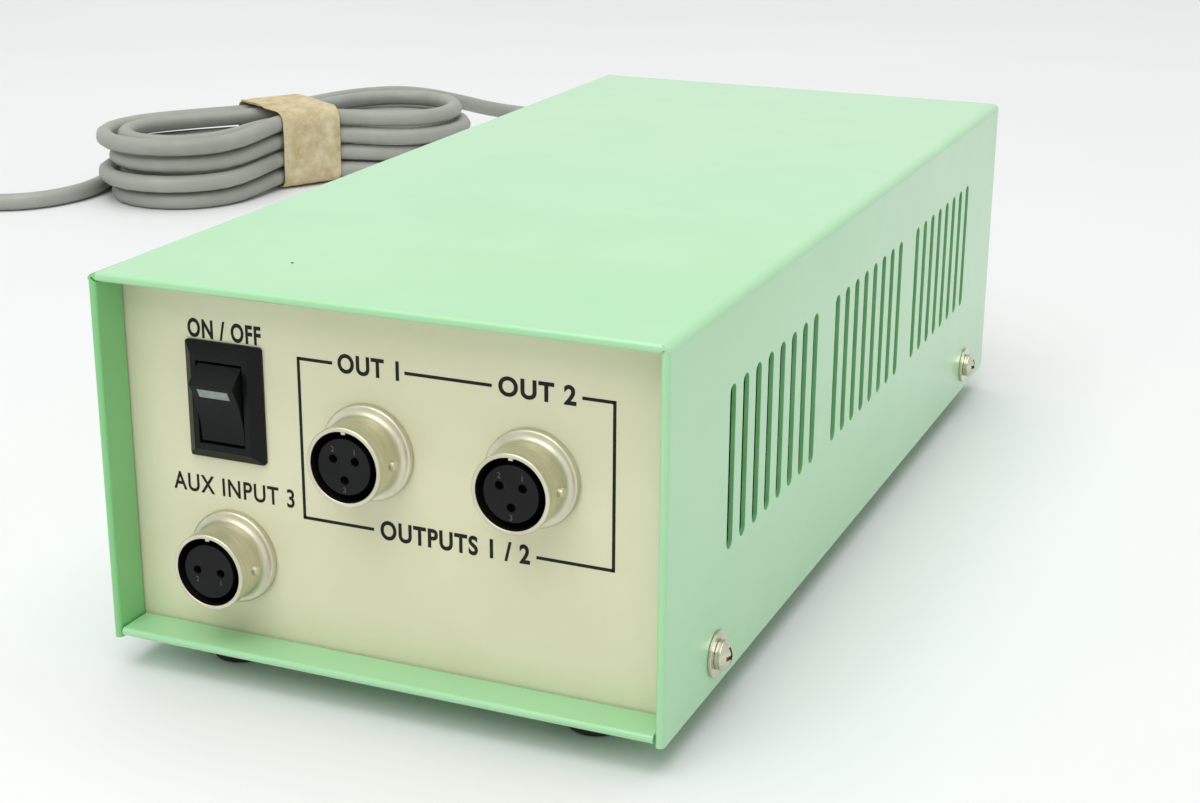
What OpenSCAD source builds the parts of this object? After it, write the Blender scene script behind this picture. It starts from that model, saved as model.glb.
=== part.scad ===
// Mains power and control box of a motor-driven micromanipulator.
// A folded sheet-metal cover and tray close on a front and a rear panel. The
// front carries a rocker switch and three bayonet sockets, the rear a fuse
// holder and the mains cord, and the tray a transformer and a circuit board.
// X runs to the right, Y to the back and Z up. The origin is on the bench
// surface, under the middle of the case.

/* [Case] */
// Width over the cover's side walls
case_w = 108; // [96:1:140]
// Length of the cover from front edge to rear edge
case_d = 230; // [215:1:280]
// Height of the cover from its lower edge to its top
case_h = 69; // [66:1:90]
// Thickness of the cover and tray sheet
sheet_t = 0.8; // [0.6:0.1:1]
// Outer radius of the cover's long bends
bend_r = 1.8; // [1.2:0.1:3]
// Setback of both panels from the cover's end edges
panel_setback = 8; // [6:0.5:12]
// Thickness of the front and rear panels
panel_t = 2; // [1.5:0.5:3]
// Clearance between sheet parts that slide together
sheet_gap = 0.3; // [0.2:0.1:0.5]
// Height of the tray's underside above the cover's lower edge
tray_lift = 0.4; // [0.2:0.1:1]
// Height of the tray's upturned sides above its floor
tray_side_h = 13; // [11:0.5:18]

/* [Vents] */
// Number of slots in one group
slot_count = 8; // [4:1:9]
// Number of groups along each side
slot_groups = 3; // [1:1:3]
// Width of one slot
slot_w = 3; // [1.6:0.1:3.4]
// Length of one slot
slot_len = 30; // [16:1:34]
// Distance from slot to slot
slot_pitch = 6.7; // [5:0.1:7]
// Distance from the middle of one group to the next
slot_group_pitch = 61.2; // [58:0.1:64]
// Height of the slots' middle above the cover's lower edge
slot_mid_h = 39; // [32:1:44]

/* [Fasteners] */
// Thread diameter of the case screws
screw_d = 3; // [2.5:0.5:3.5]
// Head diameter of the case screws
screw_head_d = 5.5; // [5:0.5:6.5]
// Head height of the case screws
screw_head_h = 2.4; // [1.6:0.1:2.6]
// Shank length of the case screws
screw_len = 6; // [5:0.5:8]
// Outer diameter of the washers under the side screws
washer_d = 8.5; // [7:0.5:9.5]
// Thickness of these washers
washer_t = 0.6; // [0.5:0.1:1]
// Distance of the front side screws from the cover's front edge
side_screw_front = 24.8; // [24:0.1:34]
// Distance of the rear side screws from the cover's rear edge
side_screw_rear = 22.5; // [16:0.1:24]
// Height of the side screws above the cover's lower edge
side_screw_h = 6.5; // [5.2:0.1:7]

/* [Feet] */
// Diameter of a rubber foot at the tray
foot_d = 13; // [11:0.5:16]
// Height of a rubber foot
foot_h = 6.4; // [5.5:0.1:9]
// Distance of the feet from the case's middle plane
foot_x = 36; // [33:0.5:38]
// Distance of the feet from the cover's end edges
foot_inset = 15; // [14.5:0.5:20]

/* [Switch] */
// Width of the switch's bezel
bezel_w = 15.5; // [14.5:0.1:16]
// Height of the switch's bezel
bezel_h = 21.6; // [21.2:0.1:23]
// Distance the bezel stands out of the panel
bezel_t = 2.2; // [1.6:0.1:2.6]
// Width of the opening that holds the rocker
rocker_open_w = 9.4; // [8.8:0.1:9.8]
// Distance of the switch from the case's left side
switch_from_side = 22; // [18:0.5:26]
// Height of the switch above the cover's lower edge
switch_h = 46; // [42:0.1:48]
// Distance the rocker's crest stands out of the bezel
crest_out = 3; // [2.5:0.1:3.5]

/* [Sockets] */
// Outer diameter of a socket's barrel
barrel_d = 14.2; // [13.6:0.1:15]
// Diameter of the bore that takes the plug's ring
barrel_bore_d = 12.6; // [12.2:0.1:12.9]
// Distance of the barrel's rim in front of the panel
barrel_len = 9; // [7:0.5:12]
// Diameter of a socket's flange
flange_d = 17.4; // [16.8:0.1:20]
// Thickness of a socket's flange
flange_t = 1.4; // [1:0.1:2]
// Diameter of the threaded stem behind the panel
stem_d = 12; // [11.8:0.1:12.4]
// Length of the stem behind the panel's front face
stem_len = 9; // [7.5:0.5:12]
// Diameter of the black insert
insert_d = 10; // [9.6:0.1:10.4]
// Distance from the middle of the insert to its contacts
contact_r = 2.4; // [2:0.1:3]
// Height of the two upper sockets above the cover's lower edge
upper_socket_h = 40.8; // [36:0.1:44]
// Distance of the first upper socket from the middle plane
first_socket_x = -3.8; // [-8:0.1:0]
// Distance between the two upper sockets
socket_pitch = 30.9; // [26:0.1:34]
// Height of the lower socket above the cover's lower edge
lower_socket_h = 16.9; // [14:0.1:20]

/* [Fuse holder] */
// Diameter of the fuse holder's threaded body
fuse_body_d = 12; // [11.4:0.1:12.6]
// Diameter of the fuse holder's flange
fuse_flange_d = 15.5; // [14.5:0.5:18]
// Thickness of the fuse holder's flange
fuse_flange_t = 2; // [1.5:0.1:3]
// Diameter of the fuse holder's cap
fuse_cap_d = 12.6; // [11:0.1:14]
// Diameter of the glass fuse's end caps
fuse_d = 6.35; // [5.2:0.05:6.4]
// Length of the glass fuse
fuse_len = 30; // [20:1:32]
// Distance of the fuse holder and the cord bush from the case's left side
rear_from_side = 24; // [20:0.5:30]
// Height of the fuse holder above the cover's lower edge
fuse_h = 48; // [42:0.5:52]
// Height of the cord bush above the cover's lower edge
bush_h = 20; // [16:0.5:24]

/* [Transformer] */
// Width of the laminated core
core_w = 57; // [50:1:62]
// Height of the laminated core
core_h = 47.5; // [42:0.5:50]
// Thickness of the stack of laminations
core_stack = 26; // [20:1:32]
// Distance of the transformer behind the case's middle
core_y = 46; // [42:0.5:50]

/* [Circuit board] */
// Width of the circuit board
board_w = 92; // [80:1:92]
// Length of the circuit board
board_d = 84; // [84:1:88]
// Thickness of the circuit board
board_t = 1.6; // [1:0.1:2]
// Height of the board's standoffs
standoff_h = 8; // [5:0.5:12]

/* [Cord] */
// Diameter of the mains cord
cord_d = 6; // [5:0.1:6.2]
// Length of the tapered strain relief behind the rear panel
bush_len = 30; // [20:1:40]
// Length of the hank's straight runs
hank_run = 90; // [90:1:100]
// Radius of the hank's innermost fold
hank_fold_r = 18; // [18:0.5:20]
// Sideways step from loop to loop
hank_step = 7.6; // [7.6:0.1:8]
// Step from layer to layer
hank_rise = 6.6; // [6.6:0.1:7]
// Width of the tape that ties the hank
tie_w = 24; // [15:1:28]

/* [Hidden] */
$fn = 48;
eps = 0.01;
run_fit = 0.05; // radial clearance of a running or seated round fit
seat_gap = 0.02; // clearance between pieces that seat on each other

// Heights and end planes of the case
hem_t = 2 * sheet_t; // sheet folded flat on itself
cover_z = foot_h - tray_lift;
top_z = cover_z + case_h;
floor_z = foot_h + sheet_t; // upper face of the tray's floor
end_y = case_d / 2;
panel_y = end_y - panel_setback; // outer face of both panels
panel_in_y = panel_y - panel_t; // inner face of both panels
hem_gap = 0.4; // between a hem and the panel behind it
hem_d = panel_setback - hem_gap;
panel_w = case_w - 2 * sheet_t - 2 * sheet_gap;
panel_top = top_z - sheet_t - 0.4;
tray_w = panel_w;
foot_y = end_y - foot_inset;
rear_x = -case_w / 2 + rear_from_side;

// Side screws
side_z = cover_z + side_screw_h;
side_front_y = -end_y + side_screw_front;
side_rear_y = end_y - side_screw_rear;
screw_clear_r = screw_d / 2 + 0.2;
tap_r = screw_d / 2 + seat_gap;
clinch_d = 5.4;
clinch_len = 4;

// Panel feet
panel_foot_w = 56;
panel_foot_d = 10;
panel_screw_x = 20;
panel_screw_y = panel_in_y - panel_foot_d / 2;

// Switch. At either stop the rocker shows the same outline, the other way up.
switch_x = -case_w / 2 + switch_from_side;
switch_z = cover_z + switch_h;
bezel_y = -panel_y - bezel_t; // outer face of the bezel
body_w = bezel_w - 2.2;
body_h = bezel_h - 2.2;
body_depth = 15;
bezel_edge = 0.6; // height of the bezel's outer edge
bezel_slope = 2; // width of its sloping faces
rocker_open_h = 15.2;
lip_t = 0.6; // the pocket is taller behind this lip
pocket_h = 16.8;
rocker_depth = 8.2; // depth of the pocket behind the bezel's face
pivot_in = 3.9; // pivot behind the bezel's face
pivot_y = bezel_y + pivot_in;
trunnion_r = 1;
trunnion_len = 1;
rocker_w = rocker_open_w - 0.5;
crest_up = 4.1; // crest above the pivot
crest_w = rocker_w - 0.4;
tip_up = 7.2; // ends of the rocker above and below the pivot
tip_in = 0.35; // ends behind the bezel's face
face_r = 21; // hollow of the lower face
mark_w = 6.2;
mark_h = 1.9;
mark_t = 0.6;
mark_drop = 1.9; // middle of the mark from the crest, along the face
blade_w = 4.8;
blade_t = 0.8;
blade_len = 8;
blade_z = 5;

// Sockets: place and contact angles of each
socket_x = [first_socket_x, first_socket_x + socket_pitch, switch_x];
socket_z = [cover_z + upper_socket_h, cover_z + upper_socket_h, cover_z + lower_socket_h];
three_contacts = [30, 150, 270];
two_contacts = [0, 180];
socket_angles = [three_contacts, three_contacts, two_contacts];
rim_y = -panel_y - barrel_len;
bore_depth = barrel_len - flange_t;
stem_y = -panel_y + stem_len;
insert_face = 0.4; // insert's face behind the rim
insert_tail = 2; // insert's end behind the stem
insert_y = rim_y + insert_face;
contact_d = 1.5;
contact_bore_d = 1;
contact_sink = 2.2;
contact_tail = 3;
ring_len = 3; // front part of the barrel, which a plug's ring slides over
ring_step = 0.25; // the rest of the barrel is thinner by this much
stud_d = 1.8;
stud_out = 0.8;
stud_back = 4.3; // bayonet studs behind the rim
key_w = 0.8;
key_h = 0.6;
foot_fillet = 1.2; // hollow between barrel and flange
socket_nut_t = 2.5;
socket_nut_af = 15;

// Fuse holder, with its cap as far behind the case as the sockets stand in front
fuse_z = cover_z + fuse_h;
bush_z = cover_z + bush_h;
fuse_flange_y = panel_y + fuse_flange_t;
fuse_cap_y = panel_y + barrel_len; // outer end of the cap
cap_gap = 0.1;
clip_r = fuse_d / 2 + 0.35;
fuse_bore_r = clip_r + run_fit;
fuse_out_y = panel_y - 1; // outer end of the glass fuse
fuse_in_y = fuse_out_y - fuse_len;
fuse_back_y = fuse_in_y - 3; // closed end of the holder
fuse_cap_len = 6; // length of the glass fuse's metal ends
clip_len = 8;
fuse_nut_t = 3;
fuse_nut_af = 16;

// Transformer
strap_t = 1;
core_z = floor_z + strap_t + seat_gap;
limb_w = core_w / 3;
window_w = core_w / 6;
window_h = core_h - core_w / 3;
coil_over = 8.5; // coil beyond the stack, front and back
bobbin_t = 1.2;
strap_w = core_stack - 2;
strap_foot = 8;
strap_hole_x = core_w / 2 + strap_t + strap_foot / 2;
core_screw_d = 4;
core_head_d = 7;
core_head_h = 2.6;
core_nut_t = 2.4;
core_nut_af = 7;

// Circuit board
board_front = 30; // from the cover's front edge to the board
board_y = -end_y + board_front + board_d / 2; // middle of the board
board_z = floor_z + standoff_h;
board_top = board_z + board_t;
standoff_x = board_w / 2 - 5;
standoff_y = board_d / 2 - 5;
part_gap = 0.05; // seat of the components on the board
big_can = [-24, 22, 9, 32]; // place from the board's middle, radius and height
second_can = [-24, 1, 8, 26];
small_can = [-8.5, 34, 5, 12];
relay_place = [24, -24];
relay_size = [19, 15.5, 17];
sink_place = [16, 26];
sink_size = [36, 9, 25]; // width, length of the fins and height
block_place = [-19, -32];
block_size = [30, 9, 10];
resistor_place = [2, 2];
resistor_pitch = 5.2;

// Mains cord. The route's points are on the bench behind and beside the case.
cord_r = cord_d / 2;
lay_z = cord_r + 0.05; // middle of the cord where it lies on the bench
bush_flange_d = 15;
bush_flange_t = 2.5;
bush_end_y = panel_y + bush_flange_t + bush_len;
hank_mid = [-244, 261]; // middle of the hank on the bench
hank_turn = 60; // direction of its runs
hank_pinch = hank_fold_r - 1.5; // how far the waist draws every loop in
hank_loops = 6;
hank_layers = 4;
loops_per_layer = hank_loops / hank_layers;
hank_lift = 2; // the tie's thickness lifts the waist
run_part = 0.137; // share of a loop from its waist to its fold
ring_count = 24; // rings in a loop
tie_t = 0.9;
tie_gap = 0.7;
tie_corner = 4.5;
lead_in = 6; // straight ends of the hank

// Points of the lead between the strain relief and the hank
lead_points = [
  [-30, 150, 25.5], [-30, 161, 22.5], [-30.5, 172, 17.5], [-31.5, 183, 12], [-33, 194, 7.4],
  [-35, 206, 4.4], [-38, 219, 3.2], [-44, 237, 3.05], [-54, 258, 3.05], [-67, 283, 3.05],
  [-82, 308, 3.05], [-97, 333, 3.05], [-111, 356, 3.05], [-124.5, 378, 3.05], [-137, 394.5, 3.05],
  [-151, 406, 3.05], [-168, 410.5, 3.1], [-184.5, 407, 3.6], [-197.5, 397.5, 5], [-207, 385.5, 7.5],
  [-215, 372.5, 11], [-222.5, 359.5, 15.4], [-230, 346.5, 19.4], [-237.5, 333.5, 22]
];
// Points of the tail between the hank and the plug
tail_points = [
  [-298.3, 226.4, 3.05], [-298.4, 218.5, 3.05], [-296.6, 210, 3.05], [-295.7, 201.5, 3.05],
  [-296.6, 193, 3.05], [-299.4, 184.8, 3.05], [-304.2, 177.8, 3.05], [-311, 172.9, 3.05],
  [-319, 169.9, 3.2], [-329, 168.3, 4.8]
];
plug_start = [-348, 168, 7.6]; // where the cord enters the plug, which points to -X
plug_len = 34;
plug_relief = 12; // tapered end of the moulding on the cord
plug_shoulder = 14; // where the body reaches its full width
plug_w = 24;
plug_h = 15;
plug_tail_w = 11;
pin_w = 6.3;
pin_t = 1.5;
pin_len = 17;
pin_pitch = 12.7;

// ---- shared shapes ----

module rounded_rect(w, h, r) {
  translate([-w / 2 + r, -h / 2]) square([w - 2 * r, h]);
  translate([-w / 2, -h / 2 + r]) square([w, h - 2 * r]);
  for (sx = [-1, 1], sy = [-1, 1]) translate([sx * (w / 2 - r), sy * (h / 2 - r)]) circle(r);
}

// Draws its children, given in X and Z, as a plate from y0 to y1
module plate_y(y0, y1) {
  translate([0, y1, 0]) rotate([90, 0, 0]) linear_extrude(y1 - y0) children();
}

// Draws its children, given in Y and Z, as a bar from x0 to x1
module bar_x(x0, x1) {
  translate([x0, 0, 0]) rotate([90, 0, 90]) linear_extrude(x1 - x0) children();
}

module rod_y(x, z, y0, y1, r) {
  translate([x, y1, z]) rotate([90, 0, 0]) cylinder(h = y1 - y0, r = r);
}

module hex_nut(af, t, bore_r) {
  difference() {
    cylinder(h = t, d = af / cos(30), $fn = 6);
    translate([0, 0, -1]) cylinder(h = t + 2, r = bore_r);
  }
}

// Pan-head screw: the head stands on z = 0 and the shank runs down
module pan_screw(d, head_d, head_h, len) {
  dome_r = head_d * 0.62;
  difference() {
    intersection() {
      cylinder(h = head_h, d = head_d);
      translate([0, 0, head_h - dome_r]) sphere(dome_r, $fn = 96);
    }
    for (a = [0, 90]) rotate([0, 0, a]) translate([-head_d * 0.3, -head_d * 0.07, head_h * 0.45])
      cube([head_d * 0.6, head_d * 0.14, head_h]);
  }
  translate([0, 0, -len]) cylinder(h = len + eps, d = d);
}

module at_side_screws() {
  for (s = [-1, 1], y = [side_front_y, side_rear_y])
    translate([s * case_w / 2, y, side_z]) rotate([0, s * 90, 0]) children();
}

module at_feet() {
  for (x = [-foot_x, foot_x], y = [-foot_y, foot_y]) translate([x, y, 0]) children();
}

module at_panel_screws() {
  for (x = [-panel_screw_x, panel_screw_x], y = [-panel_screw_y, panel_screw_y])
    translate([x, y, 0]) children();
}

module at_standoffs() {
  for (x = [-standoff_x, standoff_x], y = [-standoff_y, standoff_y])
    translate([x, board_y + y, 0]) children();
}

module at_core_screws() {
  for (x = [-strap_hole_x, strap_hole_x]) translate([x, core_y, 0]) children();
}

// ---- cover, tray and panels ----

// Outer form of the cover, rounded along its two long top edges
module cover_form() {
  plate_y(-end_y, end_y) {
    translate([-case_w / 2, cover_z]) square([case_w, case_h - bend_r]);
    translate([-case_w / 2 + bend_r, cover_z]) square([case_w - 2 * bend_r, case_h]);
    for (s = [-1, 1]) translate([s * (case_w / 2 - bend_r), top_z - bend_r]) circle(bend_r);
  }
}

// Section of a sheet that runs along the first axis from -end_y to end_y, with
// its two ends folded back on themselves to the side of the second axis
module hemmed_section() {
  nose_r = hem_t / 2;
  translate([-end_y + nose_r, 0]) square([2 * end_y - hem_t, sheet_t]);
  for (m = [0, 1]) mirror([m, 0]) {
    translate([-end_y + nose_r, 0]) square([hem_d - nose_r, hem_t]);
    translate([-end_y + nose_r, nose_r]) circle(nose_r);
  }
}

// One slot of a vent, in Y and Z
module vent_slot() {
  straight = slot_len - slot_w;
  translate([-slot_w / 2, -straight / 2]) square([slot_w, straight]);
  for (s = [-1, 1]) translate([0, s * straight / 2]) circle(d = slot_w, $fn = 24);
}

module top_cover() {
  slit_w = 0.35;
  slit_len = 0.65 * hem_t;
  color([0.62, 0.86, 0.68]) difference() {
    intersection() {
      cover_form();
      union() {
        for (m = [0, 1]) mirror([m, 0, 0]) translate([case_w / 2, 0, cover_z]) rotate([0, 0, 90])
          linear_extrude(case_h) hemmed_section();
        translate([0, 0, top_z]) mirror([0, 0, 1]) bar_x(-case_w / 2, case_w / 2) hemmed_section();
      }
    }
    for (g = [0:slot_groups - 1], k = [0:slot_count - 1])
      translate([0, (g - (slot_groups - 1) / 2) * slot_group_pitch
                    + (k - (slot_count - 1) / 2) * slot_pitch, cover_z + slot_mid_h])
        bar_x(-case_w / 2 - 1, case_w / 2 + 1) vent_slot();
    at_side_screws() translate([0, 0, -sheet_t - 1]) cylinder(h = sheet_t + 2, r = screw_clear_r);
    for (sx = [-1, 1], sy = [-1, 1]) // mitre slits where the hems meet
      translate([sx * (case_w / 2 - hem_t), sy * (end_y - hem_d / 2), top_z - hem_t])
        rotate([0, sx * 45, 0]) translate([-slit_w / 2, -hem_d / 2 - 1, -1])
          cube([slit_w, hem_d + 2, slit_len + 1]);
  }
}

module bottom_tray() {
  lip_w = case_w - 2 * hem_t - 2 * sheet_gap;
  side_len = 2 * (panel_in_y - sheet_gap);
  color([0.58, 0.83, 0.64]) difference() {
    union() {
      translate([0, 0, foot_h]) intersection() {
        bar_x(-tray_w / 2, tray_w / 2) hemmed_section();
        union() { // the ends are narrower, to pass between the cover's hems
          translate([-lip_w / 2, -end_y, -1]) cube([lip_w, case_d, hem_t + 2]);
          translate([-tray_w / 2, -panel_y, -1]) cube([tray_w, 2 * panel_y, hem_t + 2]);
        }
      }
      for (s = [-1, 1]) translate([s * (tray_w - sheet_t) / 2 - sheet_t / 2, -side_len / 2, foot_h])
        cube([sheet_t, side_len, sheet_t + tray_side_h]);
    }
    at_side_screws() translate([0, 0, -4]) cylinder(h = 5, d = clinch_d - 1 + 2 * seat_gap);
    at_feet() translate([0, 0, foot_h - 1]) cylinder(h = 4, r = screw_clear_r);
    at_panel_screws() translate([0, 0, foot_h - 1]) cylinder(h = 4, r = screw_clear_r);
    at_standoffs() translate([0, 0, foot_h - 1]) cylinder(h = 4, r = screw_clear_r);
    at_core_screws() translate([0, 0, foot_h - 1]) cylinder(h = 4, d = core_screw_d + 0.4);
  }
}

// A panel: its outer face is at y = -panel_y, and its foot points inwards
module panel_blank() {
  mid_z = (floor_z + panel_top) / 2;
  difference() {
    union() {
      plate_y(-panel_y, -panel_in_y) translate([0, mid_z]) rounded_rect(panel_w, panel_top - floor_z, 0.8);
      translate([-panel_foot_w / 2, -panel_in_y - eps, floor_z])
        cube([panel_foot_w, panel_foot_d + eps, panel_t]);
    }
    at_panel_screws() translate([0, 0, floor_z - 1]) cylinder(h = panel_t + 2, r = tap_r);
  }
}

module front_panel() {
  color([0.93, 0.93, 0.80]) difference() {
    panel_blank();
    translate([switch_x - body_w / 2 - 0.1, -panel_y - 1, switch_z - body_h / 2 - 0.1])
      cube([body_w + 0.2, panel_t + 2, body_h + 0.2]);
    for (i = [0:2]) rod_y(socket_x[i], socket_z[i], -panel_y - 1, -panel_in_y + 1, stem_d / 2 + run_fit);
  }
}

module rear_panel() {
  color([0.93, 0.93, 0.80]) difference() {
    mirror([0, 1, 0]) panel_blank();
    rod_y(rear_x, fuse_z, panel_in_y - 1, panel_y + 1, fuse_body_d / 2 + run_fit);
    rod_y(rear_x, bush_z, panel_in_y - 1, panel_y + 1, bush_flange_d / 2 - 1.3 + run_fit);
  }
}

module panel_screws() {
  color("silver") at_panel_screws() translate([0, 0, foot_h - seat_gap]) rotate([180, 0, 0])
    pan_screw(screw_d, screw_head_d - 0.5, 2, sheet_t + panel_t);
}

module side_screws() {
  color("silver") at_side_screws() translate([0, 0, washer_t + 2 * seat_gap])
    pan_screw(screw_d, screw_head_d, screw_head_h, screw_len);
}

module side_washers() {
  color("silver") at_side_screws() translate([0, 0, seat_gap]) difference() {
    cylinder(h = washer_t, d = washer_d);
    translate([0, 0, -1]) cylinder(h = washer_t + 2, r = screw_clear_r);
  }
}

// Round nuts pressed into the tray's sides from inside
module clinch_nuts() {
  in_z = -sheet_t - sheet_gap; // outer face of the tray's side
  color("gainsboro") at_side_screws() difference() {
    union() {
      translate([0, 0, in_z - sheet_t - clinch_len]) cylinder(h = clinch_len - seat_gap, d = clinch_d);
      translate([0, 0, in_z - sheet_t - seat_gap - eps]) cylinder(h = sheet_t, d = clinch_d - 1);
    }
    translate([0, 0, in_z - clinch_len - 2]) cylinder(h = clinch_len + 4, r = tap_r);
  }
}

module rubber_feet() {
  recess_d = screw_head_d + 1.4;
  recess_h = 3.4;
  color([0.12, 0.12, 0.12]) at_feet() rotate_extrude() polygon([
    [screw_clear_r, recess_h], [recess_d / 2, recess_h], [recess_d / 2, 0],
    [foot_d / 2 - 1.4, 0], [foot_d / 2 - 0.9, 0.5], [foot_d / 2, foot_h - seat_gap],
    [screw_clear_r, foot_h - seat_gap]
  ]);
}

module foot_screws() {
  color("silver") at_feet() translate([0, 0, 3.4 - seat_gap]) rotate([180, 0, 0])
    pan_screw(screw_d, screw_head_d, 2, foot_h - 3.4 + sheet_t + 3.4);
}

module foot_nuts() {
  color("silver") at_feet() translate([0, 0, floor_z + seat_gap]) hex_nut(5.5, 2.4, tap_r);
}

// ---- rocker switch ----

module switch_housing() {
  latch = 0.8;
  color([0.14, 0.14, 0.15]) translate([switch_x, 0, switch_z]) difference() {
    union() {
      difference() {
        plate_y(bezel_y, -panel_y - seat_gap) rounded_rect(bezel_w, bezel_h, 0.7);
        for (a = [0:3]) { // four faces slope from the outer edge up to the rim
          half = a % 2 == 0 ? bezel_w / 2 : bezel_h / 2;
          reach = bezel_h;
          rotate([0, a * 90, 0]) translate([half, -panel_y - bezel_edge, 0])
            rotate([0, 0, -atan2(bezel_slope, bezel_t - bezel_edge)])
              translate([0, -reach, -reach]) cube([reach, reach, 2 * reach]);
        }
      }
      translate([-body_w / 2, -panel_y - seat_gap - eps, -body_h / 2])
        cube([body_w, body_depth, body_h]);
      for (m = [0, 1]) mirror([0, 0, m]) // snap latches behind the panel
        bar_x(-3, 3) polygon([[-panel_in_y + 0.2, body_h / 2 - eps], [-panel_in_y + 0.2, body_h / 2 + latch],
          [-panel_in_y + 4, body_h / 2 - eps]]);
    }
    translate([-rocker_open_w / 2, bezel_y - 1, -rocker_open_h / 2])
      cube([rocker_open_w, rocker_depth + 1, rocker_open_h]);
    translate([-rocker_open_w / 2, bezel_y + lip_t, -pocket_h / 2])
      cube([rocker_open_w, rocker_depth - lip_t, pocket_h]);
    translate([-rocker_open_w / 2 - trunnion_len - 0.1, pivot_y, 0]) rotate([0, 90, 0])
      cylinder(h = rocker_open_w + 2 * trunnion_len + 0.2, r = trunnion_r + run_fit);
    for (z = [-blade_z, 0, blade_z]) // slots that hold the terminal blades
      translate([-blade_w / 2 - seat_gap, body_depth - panel_y - 3, z - blade_t / 2 - seat_gap])
        cube([blade_w + 2 * seat_gap, 4, blade_t + 2 * seat_gap]);
  }
}

// Side outline of the rocker: first value out of the bezel, second up from the pivot
crest = [crest_out, crest_up];
upper_tip = [-tip_in, tip_up];
lower_tip = [-tip_in, -tip_up];
pivot = [-pivot_in, 0];
// Swing between the stops: the crest goes to where the upper tip is
swing = atan2(tip_up, pivot_in - tip_in) - atan2(crest_up, crest_out + pivot_in);
// Hidden lower end: the upper tip mirrored in the rocker's middle line
hidden_tip = let(v = upper_tip - pivot)
  pivot + [v[0] * cos(swing) - v[1] * sin(swing), -v[0] * sin(swing) - v[1] * cos(swing)];
chord = norm(crest - lower_tip);
face_dir = (lower_tip - crest) / chord;
face_out = [-face_dir[1], face_dir[0]]; // points away from the rocker
face_mid = (crest + lower_tip) / 2;
face_centre = face_mid + face_out * sqrt(face_r * face_r - chord * chord / 4);

module rocker_outline() {
  difference() {
    union() {
      polygon([upper_tip, crest, lower_tip, hidden_tip]);
      translate(pivot) circle(2.2);
    }
    translate(face_centre) circle(face_r, $fn = 128);
  }
}

// Turns an outline of the rocker into its place: outwards is -Y
module rocker_place(w) {
  translate([switch_x, bezel_y, switch_z]) mirror([0, 1, 0]) bar_x(-w / 2, w / 2) children();
}

// The mark lies in the lower face, close below the crest
module mark_outline(gap) {
  from_mid = chord / 2 - mark_drop;
  angle = asin(from_mid / face_r);
  ray = [-face_out[0] * cos(angle) - face_dir[0] * sin(angle), -face_out[1] * cos(angle) - face_dir[1] * sin(angle)];
  translate(face_centre + ray * (face_r - 0.05)) rotate(atan2(ray[1], ray[0]))
    translate([0, -mark_h / 2 - gap]) square([mark_t + gap, mark_h + 2 * gap]);
}

module switch_rocker() {
  taper = (rocker_w - crest_w) / 2;
  reach = bezel_h; // of the blocks that cut the flanks
  color([0.13, 0.13, 0.14]) difference() {
    union() {
      difference() {
        rocker_place(rocker_w) rocker_outline();
        for (s = [-1, 1]) translate([switch_x + s * rocker_w / 2, bezel_y, switch_z])
          rotate([0, 0, s * atan2(taper, crest_out)]) translate([s > 0 ? 0 : -reach, -reach, -reach])
            cube([reach, reach, 2 * reach]);
      }
      translate([switch_x - rocker_w / 2 - trunnion_len, pivot_y, switch_z]) rotate([0, 90, 0])
        cylinder(h = rocker_w + 2 * trunnion_len, r = trunnion_r);
    }
    rocker_place(mark_w + 2 * seat_gap) mark_outline(seat_gap);
  }
}

module rocker_mark() {
  color([0.8, 0.82, 0.82]) rocker_place(mark_w) mark_outline(0);
}

module switch_terminals() {
  color("goldenrod") for (z = [-blade_z, 0, blade_z])
    translate([switch_x, body_depth - panel_y - 2.9, switch_z + z]) difference() {
      translate([-blade_w / 2, 0, -blade_t / 2]) cube([blade_w, blade_len + 2.9, blade_t]);
      translate([0, blade_len, -1]) cylinder(h = 2, r = 0.9, $fn = 24);
    }
}

// ---- bayonet sockets ----

// Half section of a shell from the panel to the rim: radius, then distance
module shell_outline() {
  r = barrel_d / 2;
  back_r = r - ring_step;
  face = panel_y + flange_t;
  difference() {
    polygon([[0, panel_y + seat_gap], [flange_d / 2, panel_y + seat_gap], [flange_d / 2, face - 0.5],
      [flange_d / 2 - 0.15, face - 0.15], [flange_d / 2 - 0.5, face], [back_r + foot_fillet, face],
      [back_r, face + foot_fillet], [back_r, -rim_y - ring_len - ring_step], [r, -rim_y - ring_len],
      [r, -rim_y - 0.3], [r - 0.09, -rim_y - 0.09], [r - 0.3, -rim_y], [0, -rim_y]]);
    translate([back_r + foot_fillet, face + foot_fillet]) circle(foot_fillet);
  }
}

module socket_shell(i) {
  x = socket_x[i];
  z = socket_z[i];
  color([0.80, 0.78, 0.70]) difference() {
    union() {
      translate([x, 0, z]) rotate([90, 0, 0]) rotate_extrude() shell_outline();
      rod_y(x, z, -panel_y - flange_t / 2, stem_y, stem_d / 2);
      translate([x - barrel_d / 2 - stud_out, rim_y + stud_back, z]) rotate([0, 90, 0])
        cylinder(h = barrel_d + 2 * stud_out, d = stud_d, $fn = 24);
    }
    difference() {
      rod_y(x, z, rim_y - 1, rim_y + bore_depth, barrel_bore_d / 2);
      translate([x - key_w / 2, rim_y + 0.4, z + barrel_bore_d / 2 - key_h]) cube([key_w, bore_depth, key_h + 1]);
    }
    rod_y(x, z, rim_y, stem_y + 1, insert_d / 2 + run_fit);
  }
}

module socket_insert(i) {
  color([0.17, 0.17, 0.18]) translate([socket_x[i], 0, socket_z[i]]) difference() {
    rod_y(0, 0, insert_y, stem_y + insert_tail, insert_d / 2);
    for (a = socket_angles[i]) rotate([0, -a, 0])
      rod_y(contact_r, 0, insert_y - 1, stem_y + insert_tail + 1, contact_d / 2 + seat_gap);
  }
}

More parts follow.
